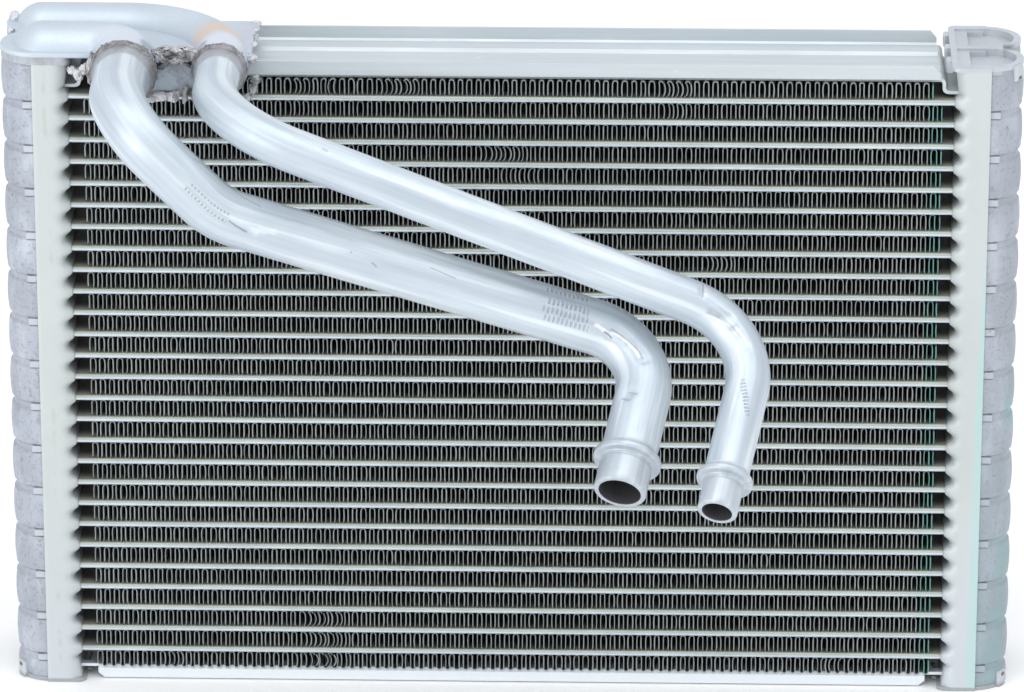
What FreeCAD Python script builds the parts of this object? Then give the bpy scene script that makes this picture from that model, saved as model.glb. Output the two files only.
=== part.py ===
import FreeCAD, Part
import math
import os

# Automotive evaporator core, millimetres, +Z up, front (air inlet and pipes) towards -Y.
# The model is drawn about the middle of the core, with the tube noses in the plane Y = 0 and
# the header ends on Z = 0, and every piece is then moved so that the origin is the centre
# of the whole part's underside.

V = FreeCAD.Vector

# ---------------------------------------------------------------- driving dimensions
TUBE_COUNT = 27
TUBE_PITCH = 6.65            # tube to tube
TOP_TUBE_Z = 183.0           # centre of the top tube above the standing plane
TUBE_T = 1.65                # flat tube thickness
TUBE_W = 17.4                # width of one tube, two rows
ROW_GAP = 1.2                # gap between the two rows
CORE_D = 2 * TUBE_W + ROW_GAP
TUBE_HALF = 131.8            # tube ends reach this far from the middle
PORTS = 8                    # passages in a tube
PORT_W = 1.6
PORT_H = 1.0
PORT_WEB = 0.4

FIN_T = 0.10                 # fin sheet
FIN_LEG = 1.311              # leg to leg, half a wave
FIN_LEGS = 189               # the top fin has four fewer, to clear the side plate
FIN_X = 0.5                  # the fins sit a little to the right of the middle
FIN_SETBACK = 0.55           # fin edge behind the tube nose
FIN_GAP = 0.01

HEADER_H = 193.0             # header height
HDR_Y0, HDR_Y1 = -2.0, 38.0  # header depth
WALL_X = 129.8               # face of the header plate towards the core
PLATE_T = 1.2
PLATE_R = 2.2                # fold radius of the header plate
STRIP_X = 137.6              # free edge of the header plate's side flanges
COLLAR_X = 127.3             # crest of the collar round each tube
COLLAR_BASE = 2.5            # half height of a collar at its foot
COLLAR_TIP = 1.15

LOBE_X = 136.9               # axis of the tank cover's lobes
LOBE_Y = (9.0, 27.0)
LOBE_R = 10.4
LOBE_RI = 9.0
BAND_R = 9.4                 # radius in the narrow bands
BAND_H = 3.0
BAND_STEP = 2 * TUBE_PITCH
BAND_TOP_Z = 179.7
LEFT_BAND_UP = 0.8           # the left cover has its bands this much higher
BAND_COUNT = 14
LEG_X = 132.1                # inner edge of the tank cover's legs
WEB_HALF = 0.55              # half thickness of the cover's middle web
MID_Y = 18.0

RIM_T = 1.2                  # end cap rim
CUP_D = 2.9                  # end cap cup depth over all
CUP_T = 0.8
CAP_TOP = HEADER_H + RIM_T   # the rim lies on the end of the header plate

PLATE_Y0, PLATE_Y1 = 1.2, 34.8      # side plate width
SIDE_T = 0.9
TOP_LIP_Z = 193.8
BOTTOM_LIP_Z = 0.4

CAP_X = 126.4                # edge of the end caps over the core
CAP_LEDGE_X = 128.2          # shallow ledge inside each cap recess reaches this far

DUCT_Z = 195.4               # underside of the duct base plate
DUCT_SPLIT_Z = 196.1         # joint between duct base and duct shell
DUCT_FLANGE_Z = 196.8
DUCT_T = 1.2
# each channel: outside radius, height of its axis, distance back, bend radius in plan
BIG_R, BIG_AXIS_Z, BIG_Y, BIG_BEND = 9.5, 193.3, 8.0, 10.4
SMALL_R, SMALL_AXIS_Z, SMALL_Y, SMALL_BEND = 7.9, 194.2, 28.0, 30.0
DUCT_LEFT_X = -136.9
BIG_LEFT_X = -134.7          # the front channel ends a little short of the rear one
FACE_Y = -8.0                # front of the duct collars
DRUM_L = 7.1                 # depth of the collars

BIG_C = (-110.6, 193.0)      # suction pipe centre at its collar, X and Z
BIG_OD, BIG_WALL = 15.88, 1.2
SMALL_C = (-83.0, 194.0)    # liquid pipe centre at its collar
SMALL_OD, SMALL_WALL = 12.70, 1.15

# pipe centre lines: corner points and the bend radius at each inner corner
BIG_PATH = [(-110.6, -5.0, 193.0), (-110.6, -45.0, 193.0), (-81.60, -45.0, 163.71),
            (42.09, -45.0, 125.39), (32.60, -85.60, 96.61)]
BIG_BENDS = [18.0, 25.0, 18.0]
SMALL_PATH = [(-83.0, -5.0, 194.0), (-83.0, -51.0, 194.0), (72.20, -51.0, 132.80), (59.67, -101.22, 97.35)]
SMALL_BENDS = [25.0, 22.5]
# spigot end: spigot radius, bore radius, spigot length, bead radius, bead thickness
BIG_END = (7.45, 5.9, 9.7, 9.7, 2.3)
SMALL_END = (5.65, 4.15, 9.6, 8.0, 2.2)

os.makedirs("parts", exist_ok=True)
PARTS = {}


# ---------------------------------------------------------------- small helpers
def box(x0, x1, y0, y1, z0, z1):
    return Part.makeBox(x1 - x0, y1 - y0, z1 - z0, V(x0, y0, z0))


def cyl(r, h, p, d=V(0, 0, 1)):
    return Part.makeCylinder(r, h, p, d)


def poly_face(pts):
    w = Part.makePolygon([V(*p) for p in pts] + [V(*pts[0])])
    return Part.Face(w)


def tidy(shape):
    # joins faces that lie on one surface, where that is possible
    try:
        return shape.removeSplitter()
    except Part.OCCError:
        return shape


def one(shape):
    shape = tidy(shape)
    if shape.ShapeType == "Compound" and len(shape.Solids) == 1:
        shape = shape.Solids[0]
    return shape


def mirror_x(shape):
    return shape.mirror(V(0, 0, 0), V(1, 0, 0))


def tube_z(i):
    return TOP_TUBE_Z - i * TUBE_PITCH


# ---------------------------------------------------------------- flat tubes
def stadium(y0, w, t, x, z):
    r = t / 2.0
    a, b = V(x, y0 + r, z + r), V(x, y0 + w - r, z + r)
    c, d = V(x, y0 + w - r, z - r), V(x, y0 + r, z - r)
    return Part.Wire([
        Part.LineSegment(a, b).toShape(),
        Part.Arc(b, V(x, y0 + w, z), c).toShape(),
        Part.LineSegment(c, d).toShape(),
        Part.Arc(d, V(x, y0, z), a).toShape()])


def tube_solid(y0, ports=True):
    wires = [stadium(y0, TUBE_W, TUBE_T, -TUBE_HALF, 0)]
    if ports:
        total = PORTS * PORT_W + (PORTS - 1) * PORT_WEB
        y = y0 + (TUBE_W - total) / 2.0
        for _ in range(PORTS):
            h = PORT_H / 2.0
            p = [(-TUBE_HALF, y, -h), (-TUBE_HALF, y + PORT_W, -h), (-TUBE_HALF, y + PORT_W, h), (-TUBE_HALF, y, h)]
            wires.append(Part.makePolygon([V(*q) for q in p] + [V(*p[0])]))
            y += PORT_W + PORT_WEB
    face = Part.Face(wires) if ports else Part.Face(wires[0])
    return face.extrude(V(2 * TUBE_HALF, 0, 0))


def tube_row(y0):
    base = tube_solid(y0)
    out = []
    for i in range(TUBE_COUNT):
        s = base.copy()
        s.translate(V(0, 0, tube_z(i)))
        out.append(s)
    return Part.makeCompound(out)


ROW_Y = (0.0, TUBE_W + ROW_GAP)
PARTS["front_tube_row"] = tube_row(ROW_Y[0])
PARTS["rear_tube_row"] = tube_row(ROW_Y[1])

SLOTS = []
for y0 in ROW_Y:
    plain = tube_solid(y0, ports=False)
    for i in range(TUBE_COUNT):
        s = plain.copy()
        s.translate(V(0, 0, tube_z(i)))
        SLOTS.append(s)


# ---------------------------------------------------------------- corrugated fins
def fin(z_low, z_high, legs):
    # a serpentine sheet: upright legs joined by half-round crowns and roots
    r = FIN_LEG / 2.0
    ro, ri = r + FIN_T / 2.0, r - FIN_T / 2.0
    top, low = z_high - ro, z_low + ro
    x0 = FIN_X - (legs - 1) * FIN_LEG / 2.0
    h = FIN_T / 2.0

    def side(sign):
        edges = []
        for k in range(legs):
            up = k % 2 == 0
            x = x0 + k * FIN_LEG
            xs = x - sign * h if up else x + sign * h
            a, b = (V(xs, 0, low), V(xs, 0, top)) if up else (V(xs, 0, top), V(xs, 0, low))
            if k == 0:
                a = V(xs, 0, z_low)
            if k == legs - 1:
                b = V(xs, 0, z_high if up else z_low)
            edges.append(Part.LineSegment(a, b).toShape())
            if k < legs - 1:
                cx = x + r
                outer = (sign > 0) == up
                rad = ro if outer else ri
                xn = x + FIN_LEG + (sign * h if up else -sign * h)
                z = top if up else low
                m = V(cx, 0, z + rad if up else z - rad)
                edges.append(Part.Arc(V(xs, 0, z), m, V(xn, 0, z)).toShape())
        return edges

    left, right = side(1), side(-1)
    a0, b0 = left[0].firstVertex(True).Point, right[0].firstVertex(True).Point
    a1, b1 = left[-1].lastVertex(True).Point, right[-1].lastVertex(True).Point
    edges = left + [Part.LineSegment(a1, b1).toShape()] + list(reversed(right)) + [Part.LineSegment(b0, a0).toShape()]
    face = Part.Face(Part.Wire(edges))
    s = face.extrude(V(0, CORE_D - 2 * FIN_SETBACK, 0))
    s.translate(V(0, FIN_SETBACK, 0))
    return s


GAP = TUBE_PITCH - TUBE_T
fin_top = fin(FIN_GAP, GAP - FIN_GAP, FIN_LEGS - 4)
fin_master = fin(FIN_GAP, GAP - FIN_GAP, FIN_LEGS)
for n in range(TUBE_COUNT + 1):
    z0 = TOP_TUBE_Z + TUBE_T / 2.0 - n * TUBE_PITCH
    f = fin_top if n == 0 else fin_master.copy()
    f.translate(V(0, 0, z0))
    PARTS["fin_%02d" % (n + 1)] = f
TOP_PLATE_Z = TOP_TUBE_Z + TUBE_T / 2.0 + GAP          # underside of the top side plate
BOT_PLATE_Z = tube_z(TUBE_COUNT - 1) - TUBE_T / 2.0 - GAP  # top face of the bottom side plate


# ---------------------------------------------------------------- side plates
def side_plate_profile(lip, up):
    # section across the core: two lips and a floor with two long ribs
    s = 1.0 if up else -1.0
    z0 = TOP_PLATE_Z if up else BOT_PLATE_Z
    t = SIDE_T
    rib = 0.95
    y0, y1 = PLATE_Y0, PLATE_Y1
    under = [(y0 + 0.9, 0), (7.0, 0), (8.0, rib), (11.6, rib), (12.6, 0), (23.4, 0), (24.4, rib), (28.0, rib), (29.0, 0), (y1 - 0.9, 0)]
    over = [(y1 - 1.5, t), (29.3, t), (28.3, t + rib), (24.1, t + rib), (23.1, t), (12.9, t), (11.9, t + rib), (7.7, t + rib), (6.7, t), (y0 + 1.5, t)]
    lip_h = abs(lip - z0)
    pts = under + [(y1, 0.9), (y1, lip_h), (y1 - t, lip_h), (y1 - t, 1.5)] + over + [(y0 + t, 1.5), (y0 + t, lip_h), (y0, lip_h), (y0, 0.9)]
    return [(y, z0 + s * z) for y, z in pts]


def side_plate(lip, up, half):
    pts = [(-half, y, z) for y, z in side_plate_profile(lip, up)]
    return poly_face(pts).extrude(V(2 * half, 0, 0))


def tongue_path(pts, y0, y1):
    f = poly_face([(x, y0, z) for x, z in pts])
    return f.extrude(V(0, y1 - y0, 0))


top = side_plate(TOP_LIP_Z, True, 123.1)
# the upper ends of the lips are cut back at a slant
for sx in (1, -1):
    for ya, yb in ((PLATE_Y0 - 1, PLATE_Y0 + 2), (PLATE_Y1 - 2, PLATE_Y1 + 1)):
        w = poly_face([(sx * 120.7, ya, 194.5), (sx * 124.0, ya, 194.5), (sx * 124.0, ya, 190.6)]).extrude(V(0, yb - ya, 0))
        top = top.cut(w)
# end tongues: down past the first fin, then out into the header plate
zt = TOP_PLATE_Z
tongue = [(121.5, zt), (123.1, zt), (123.6, zt - 0.2), (123.8, zt - 0.7), (123.8, zt - 2.3), (124.1, zt - 3.1),
          (124.8, zt - 3.6), (125.7, zt - 3.75), (130.9, zt - 3.75), (130.9, zt - 2.85), (125.8, zt - 2.85), (125.1, zt - 2.6),
          (124.75, zt - 2.1), (124.75, zt - 0.4), (124.4, zt + 0.4), (123.7, zt + 0.85), (122.9, zt + 0.9), (121.5, zt + 0.9)]
t_r = tongue_path(tongue, 2.4, 33.6)
top = one(top.fuse([t_r, mirror_x(t_r)]))
PARTS["top_side_plate"] = top

bot = side_plate(BOTTOM_LIP_Z, False, 122.8)
for sx in (1, -1):
    w = poly_face([(sx * 119.8, -5, -0.5), (sx * 124.3, -5, -0.5), (sx * 124.3, -5, 3.1)]).extrude(V(0, 50, 0))
    bot = bot.cut(w)
zb = BOT_PLATE_Z
t_b = box(120.0, 130.9, 2.4, 33.6, zb - SIDE_T, zb).cut(box(125.2, 128.2, 5.0, 31.0, zb - 2, zb + 1))
bot = one(bot.fuse([t_b, mirror_x(t_b)]))
PARTS["bottom_side_plate"] = bot


# ---------------------------------------------------------------- header plates
def header_section(z):
    xw, xi, xe, t, r = WALL_X, WALL_X + PLATE_T, STRIP_X, PLATE_T, PLATE_R
    ri = r - t
    k = math.sqrt(0.5)
    p = lambda x, y: V(x, y, z)
    e = [
        Part.LineSegment(p(xe, HDR_Y0), p(xw + r, HDR_Y0)).toShape(),
        Part.Arc(p(xw + r, HDR_Y0), p(xw + r - r * k, HDR_Y0 + r - r * k), p(xw, HDR_Y0 + r)).toShape(),
        Part.LineSegment(p(xw, HDR_Y0 + r), p(xw, HDR_Y1 - r)).toShape(),
        Part.Arc(p(xw, HDR_Y1 - r), p(xw + r - r * k, HDR_Y1 - r + r * k), p(xw + r, HDR_Y1)).toShape(),
        Part.LineSegment(p(xw + r, HDR_Y1), p(xe, HDR_Y1)).toShape(),
        Part.LineSegment(p(xe, HDR_Y1), p(xe, HDR_Y1 - t)).toShape(),
        Part.LineSegment(p(xe, HDR_Y1 - t), p(xw + r, HDR_Y1 - t)).toShape(),
        Part.Arc(p(xw + r, HDR_Y1 - t), p(xw + r - ri * k, HDR_Y1 - r + ri * k), p(xi, HDR_Y1 - r)).toShape(),
        Part.LineSegment(p(xi, HDR_Y1 - r), p(xi, HDR_Y0 + r)).toShape(),
        Part.Arc(p(xi, HDR_Y0 + r), p(xw + r - ri * k, HDR_Y0 + r - ri * k), p(xw + r, HDR_Y0 + t)).toShape(),
        Part.LineSegment(p(xw + r, HDR_Y0 + t), p(xe, HDR_Y0 + t)).toShape(),
        Part.LineSegment(p(xe, HDR_Y0 + t), p(xe, HDR_Y0)).toShape(),
    ]
    return Part.Face(Part.Wire(e))


def header_plate(z0, z1):
    s = header_section(z0).extrude(V(0, 0, z1 - z0))
    collars = []
    for i in range(TUBE_COUNT):
        z = tube_z(i)
        a = Part.makePolygon([V(WALL_X + 0.5, -0.4, z - COLLAR_BASE), V(WALL_X + 0.5, 36.4, z - COLLAR_BASE),
                              V(WALL_X + 0.5, 36.4, z + COLLAR_BASE), V(WALL_X + 0.5, -0.4, z + COLLAR_BASE), V(WALL_X + 0.5, -0.4, z - COLLAR_BASE)])
        b = Part.makePolygon([V(COLLAR_X, 0.5, z - COLLAR_TIP), V(COLLAR_X, 35.5, z - COLLAR_TIP),
                              V(COLLAR_X, 35.5, z + COLLAR_TIP), V(COLLAR_X, 0.5, z + COLLAR_TIP), V(COLLAR_X, 0.5, z - COLLAR_TIP)])
        collars.append(Part.makeLoft([a, b], True, True))
    s = s.fuse(collars)
    cuts = list(SLOTS)
    cuts.append(box(120, 132.1, 2.4, 33.6, TOP_PLATE_Z - 3.75, TOP_PLATE_Z - 2.85))
    cuts.append(box(120, 132.1, 2.4, 33.6, BOT_PLATE_Z - SIDE_T, BOT_PLATE_Z))
    return one(s.cut(cuts))


PARTS["right_header_plate"] = header_plate(RIM_T, HEADER_H)
PARTS["left_header_plate"] = mirror_x(header_plate(RIM_T, HEADER_H))


# ---------------------------------------------------------------- tank covers
def cavity(lobe, off, z0, z1):
    # inside of one lobe, grown inwards by off
    y = LOBE_Y[lobe]
    ya, yb = (0.2 + off, MID_Y - WEB_HALF - off) if lobe == 0 else (MID_Y + WEB_HALF + off, 35.8 - off)
    c = cyl(LOBE_RI - off, z1 - z0, V(LOBE_X, y, z0))
    c = c.common(box(WALL_X + PLATE_T + off, LOBE_X + 20, y - LOBE_RI if lobe == 0 else ya, yb if lobe == 0 else y + LOBE_RI, z0, z1))
    r = box(WALL_X + PLATE_T + off, LOBE_X, ya, yb, z0, z1)
    return one(c.fuse(r))


def barrel(lobe, z0, z1, up):
    # lobe skin: gentle bulges between narrow bands, turned about the lobe axis
    marks = [BAND_TOP_Z + up - k * BAND_STEP for k in range(BAND_COUNT)]
    marks = [m for m in marks if z0 + 2 < m < z1 - 2][::-1]
    h = BAND_H / 2.0
    edge = LOBE_R - 0.35
    edges = []
    pts = [(0.0, z0), (edge, z0)]
    cur = (edge, z0)
    edges.append(Part.LineSegment(V(0, 0, z0), V(edge, 0, z0)).toShape())
    for m in marks:
        lo, hi = m - h, m + h
        mid = (cur[1] + lo) / 2.0
        full = LOBE_R if lo - cur[1] > 6 else LOBE_R - 0.1
        edges.append(Part.Arc(V(cur[0], 0, cur[1]), V(full, 0, mid), V(edge, 0, lo)).toShape())
        edges.append(Part.LineSegment(V(edge, 0, lo), V(BAND_R, 0, lo + 0.8)).toShape())
        edges.append(Part.LineSegment(V(BAND_R, 0, lo + 0.8), V(BAND_R, 0, hi - 0.8)).toShape())
        edges.append(Part.LineSegment(V(BAND_R, 0, hi - 0.8), V(edge, 0, hi)).toShape())
        cur = (edge, hi)
    mid = (cur[1] + z1) / 2.0
    edges.append(Part.Arc(V(cur[0], 0, cur[1]), V(LOBE_R, 0, mid), V(edge, 0, z1)).toShape())
    edges.append(Part.LineSegment(V(edge, 0, z1), V(0, 0, z1)).toShape())
    edges.append(Part.LineSegment(V(0, 0, z1), V(0, 0, z0)).toShape())
    s = Part.Face(Part.Wire(edges)).revolve(V(0, 0, 0), V(0, 0, 1), 360)
    s.translate(V(LOBE_X, LOBE_Y[lobe], 0))
    return s


def tank_cover(z0, z1, crossover):
    up = LEFT_BAND_UP if crossover else 0.0
    front = barrel(0, z0, z1, up).common(box(STRIP_X, 150, -5, MID_Y, z0, z1))
    rear = barrel(1, z0, z1, up).common(box(STRIP_X, 150, MID_Y, 45, z0, z1))
    legs = box(LEG_X, STRIP_X, HDR_Y0 + PLATE_T, HDR_Y1 - PLATE_T, z0, z1)
    # each band ends in a small flat pad beside the header plate
    pads = []
    for k in range(BAND_COUNT):
        m = BAND_TOP_Z + up - k * BAND_STEP
        if z0 + 2 < m < z1 - 2:
            pads.append(box(STRIP_X, STRIP_X + 2.9, LOBE_Y[0] - 9.9, 0.8, m - 0.95, m + 0.95))
            pads.append(box(STRIP_X, STRIP_X + 2.9, 35.2, LOBE_Y[1] + 9.9, m - 0.95, m + 0.95))
    s = legs.fuse([front, rear] + pads)
    s = s.cut([cavity(0, 0, z0 - 1, z1 + 1), cavity(1, 0, z0 - 1, z1 + 1)])
    # middle web out to the header plate
    web = box(WALL_X + PLATE_T, LEG_X + 0.6, MID_Y - WEB_HALF, MID_Y + WEB_HALF, z0, z1)
    s = s.fuse(web)
    if crossover:
        holes = []
        for k in range(6):
            z = 20.0 + k * 2 * TUBE_PITCH
            holes.append(box(133.5, 138.5, MID_Y - 2, MID_Y + 2, z - 3.0, z + 3.0))
        s = s.cut(holes)
    return one(s)


PARTS["right_tank_cover"] = tank_cover(RIM_T, HEADER_H, False)
PARTS["left_tank_cover"] = mirror_x(tank_cover(RIM_T, HEADER_H, True))


# ---------------------------------------------------------------- header outline and caps
def b_outline(z0, z1):
    r = PLATE_R
    b = box(CAP_X, STRIP_X, HDR_Y0, HDR_Y1, z0, z1)
    es = [e for e in b.Edges if abs(e.BoundBox.XMin - CAP_X) < 1e-6 and abs(e.BoundBox.XMax - CAP_X) < 1e-6 and e.BoundBox.ZLength > 0.5 * (z1 - z0)
          and e.BoundBox.YLength < 1e-6]
    b = b.makeFillet(r, es)
    outer = box(LOBE_X - 1, LOBE_X + 20, HDR_Y0 - 5, HDR_Y1 + 5, z0, z1)
    c1 = cyl(LOBE_R - 0.1, z1 - z0, V(LOBE_X, LOBE_Y[0], z0)).common(outer)
    c2 = cyl(LOBE_R - 0.1, z1 - z0, V(LOBE_X, LOBE_Y[1], z0)).common(outer)
    m = box(LOBE_X - 3, LOBE_X + 4.6, MID_Y - 5, MID_Y + 5, z0, z1)
    return one(b.fuse([c1, c2, m]))


def end_cap(top):
    # drawn for the top end, then turned over for a bottom end
    z1 = CAP_TOP
    rim = b_outline(z1 - RIM_T, z1)
    cups = []
    for lobe in (0, 1):
        rim = rim.cut(cavity(lobe, CUP_T, z1 - RIM_T - 1, z1 + 1))
        outer = cavity(lobe, 0.0, z1 - CUP_D, z1 - RIM_T)
        outer = outer.fuse(cavity(lobe, 0.0, z1 - RIM_T, z1))
        cups.append(one(outer.cut(cavity(lobe, CUP_T, z1 - CUP_D + CUP_T, z1 + 1))))
    s = one(rim.fuse(cups))
    # a shallow ledge carries each recess on over the header's end, towards the core
    for ya, yb in ((1.0, MID_Y - WEB_HALF - CUP_T), (MID_Y + WEB_HALF + CUP_T, 35.0)):
        s = s.cut(box(CAP_LEDGE_X, 133.0, ya, yb, z1 - 0.6, z1 + 1))
    # a small step against the rear wall of each recess
    for ya, yb in ((15.6, MID_Y - WEB_HALF - 0.4), (34.0, 35.4)):
        s = s.fuse(box(131.8, 136.6, ya, yb, z1 - CUP_D + 0.3, z1 - 0.7))
    # three small clips hang from the edge over the core
    for y in (8.0, 19.6, 31.2):
        c = box(CAP_X - 1.6, CAP_X + 0.4, y - 2.0, y + 2.0, z1 - 3.9, z1 - 0.3)
        c = c.makeFillet(0.7, [e for e in c.Edges if e.BoundBox.XMax < CAP_X - 0.1])
        s = s.fuse(c)
    # one tab folded down over the outside of each lobe
    for lobe, a in ((0, -36.0), (1, 36.0)):
        tab = box(9.2, 11.2, -1.8, 1.8, z1 - 4.9, z1 - 0.2)
        tab = tab.makeFillet(0.75, [e for e in tab.Edges if e.BoundBox.XMin > 11.1 or (e.BoundBox.ZMax < z1 - 4.8 and e.BoundBox.YLength > 3)])
        tab.rotate(V(0, 0, 0), V(0, 0, 1), a)
        tab.translate(V(LOBE_X, LOBE_Y[lobe], 0))
        s = s.fuse(tab)
    return one(s)


cap = end_cap(True)
COVER_R, COVER_L = PARTS["right_tank_cover"], PARTS["left_tank_cover"]
cap_top = one(cap.cut([COVER_R, PARTS["right_header_plate"]]))
PARTS["right_top_cap"] = cap_top
low = cap.copy()
low = low.mirror(V(0, 0, CAP_TOP / 2.0), V(0, 0, 1))
# below, the clips stop short of the side plate's tongue
low = low.cut(box(120, WALL_X, -5, 45, 1.2, 8))
PARTS["right_bottom_cap"] = one(low.cut([COVER_R, PARTS["right_header_plate"]]))
PARTS["left_bottom_cap"] = one(mirror_x(low).cut([COVER_L, PARTS["left_header_plate"]]))

# ---------------------------------------------------------------- baffles inside the left header
BAFFLE_Z = TOP_TUBE_Z - 13.5 * TUBE_PITCH
for name, lobe in (("front_baffle", 0), ("rear_baffle", 1)):
    PARTS[name] = mirror_x(cavity(lobe, 0.0, BAFFLE_Z - 0.6, BAFFLE_Z + 0.6))


# ---------------------------------------------------------------- ducts at the top left
def channel(r, y, bend, cx, y_end, zc, left):
    # round channel from the header across to its collar, with a ball end and one bend
    ex = cx - bend
    run = cyl(r, ex - left, V(left, y, zc), V(1, 0, 0))
    ball = Part.makeSphere(r, V(left, y, zc))
    disc = Part.Face(Part.Wire([Part.Circle(V(ex, y, zc), V(1, 0, 0), r).toShape()]))
    elbow = disc.revolve(V(ex, y - bend, zc), V(0, 0, 1), -90)
    tail = cyl(r, y - bend - y_end, V(cx, y_end, zc), V(0, 1, 0))
    return one(run.fuse([ball, elbow, tail]))


def flat_track(a, y, bend, cx, y_end, z0, z1):
    # plan outline of a channel as a flat plate
    h = z1 - z0
    ex = cx - bend
    run = box(DUCT_LEFT_X, ex, y - a, y + a, z0, z1)
    disc = cyl(a, h, V(DUCT_LEFT_X, y, z0))
    ring = cyl(bend + a, h, V(ex, y - bend, z0))
    if bend > a + 1:
        ring = ring.cut(cyl(bend - a, h, V(ex, y - bend, z0)))
    ring = ring.common(box(ex, ex + bend + a + 1, y - bend, y + a + 1, z0, z1))
    tail = box(cx - a, cx + a, y_end, y - bend, z0, z1)
    return one(run.fuse([disc, ring, tail]))


bx, bz = BIG_C
sx_, sz_ = SMALL_C
rb, rs = BIG_OD / 2.0, SMALL_OD / 2.0
above = box(-170, -40, -20, 60, DUCT_SPLIT_Z, 230)
dom_b = channel(BIG_R, BIG_Y, BIG_BEND, bx, FACE_Y, BIG_AXIS_Z, BIG_LEFT_X).common(above)
dom_s = channel(SMALL_R, SMALL_Y, SMALL_BEND, sx_, FACE_Y, SMALL_AXIS_Z, DUCT_LEFT_X).common(above)
in_b = channel(BIG_R - DUCT_T, BIG_Y, BIG_BEND, bx, FACE_Y + DUCT_T, BIG_AXIS_Z, BIG_LEFT_X).common(above)
in_s = channel(SMALL_R - DUCT_T, SMALL_Y, SMALL_BEND, sx_, FACE_Y + DUCT_T, SMALL_AXIS_Z, DUCT_LEFT_X).common(above)

M = 0.9
header_b = mirror_x(b_outline(DUCT_Z, DUCT_FLANGE_Z))
plates = [flat_track(BIG_R + M, BIG_Y, BIG_BEND, bx, FACE_Y + 4.4, DUCT_Z, DUCT_FLANGE_Z),
          flat_track(SMALL_R + M, SMALL_Y, SMALL_BEND, sx_, FACE_Y + 4.4, DUCT_Z, DUCT_FLANGE_Z),
          box(-92.0, -74.4, 3.0, 29.0, DUCT_Z, DUCT_FLANGE_Z),
          box(bx, sx_, 4.0, 22.0, DUCT_Z, DUCT_FLANGE_Z)]
flange = one(header_b.fuse(plates))
upper = flange.common(above)
# web between the collars, standing on end in front of the core; its top is torn open in the middle
web_up = [box(bx, -100.6, -3.6, -2.0, DUCT_SPLIT_Z, 198.6), box(-91.0, sx_, -3.6, -2.0, DUCT_SPLIT_Z, 198.2)]
shell = upper.fuse([dom_b, dom_s] + web_up)
shell = shell.cut([in_b, in_s, cyl(rb, 4.4, V(bx, FACE_Y - 1, bz), V(0, 1, 0)), cyl(rs, 4.4, V(sx_, FACE_Y - 1, sz_), V(0, 1, 0))])

# the base: plate, the lower halves of both collars, the lower web and the pad on the header end
low_box = box(-170, -40, -20, 60, 150, DUCT_SPLIT_Z)
lower = flange.common(low_box)
drum_b = cyl(BIG_R, DRUM_L, V(bx, FACE_Y, BIG_AXIS_Z), V(0, 1, 0)).common(low_box)
drum_s = cyl(SMALL_R, DRUM_L, V(sx_, FACE_Y, SMALL_AXIS_Z), V(0, 1, 0)).common(low_box)
din_b = cyl(BIG_R - DUCT_T, DRUM_L - 2 * DUCT_T, V(bx, FACE_Y + DUCT_T, BIG_AXIS_Z), V(0, 1, 0))
din_s = cyl(SMALL_R - DUCT_T, DRUM_L - 2 * DUCT_T, V(sx_, FACE_Y + DUCT_T, SMALL_AXIS_Z), V(0, 1, 0))
web_low = poly_face([(bx, -3.6, 183.8), (sx_, -3.6, 186.2), (sx_, -3.6, DUCT_SPLIT_Z), (bx, -3.6, DUCT_SPLIT_Z)]).extrude(V(0, 1.6, 0))
pad = mirror_x(b_outline(HEADER_H, DUCT_Z))
base = lower.fuse([drum_b, drum_s, web_low, pad])
# the plate lies open under each channel only over the header end and in the collars
base = base.cut([din_b, din_s, cyl(rb, 4.4, V(bx, FACE_Y - 1, bz), V(0, 1, 0)), cyl(rs, 4.4, V(sx_, FACE_Y - 1, sz_), V(0, 1, 0)),
                 mirror_x(cavity(0, 0.6, HEADER_H - 1, DUCT_SPLIT_Z + 1)), mirror_x(cavity(1, 0.6, HEADER_H - 1, DUCT_SPLIT_Z + 1))])


def biggest(s):
    s = tidy(s)
    sol = sorted(s.Solids, key=lambda q: -q.Volume)
    if len(sol) > 1:
        print("   pieces:", [round(q.Volume, 2) for q in sol])
    return sol[0]


PARTS["duct_shell"] = biggest(shell)
PARTS["duct_base"] = biggest(base)


# ---------------------------------------------------------------- pipes
def disc(c, d, r):
    return Part.Face(Part.Wire([Part.Circle(c, d, r).toShape()]))


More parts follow.
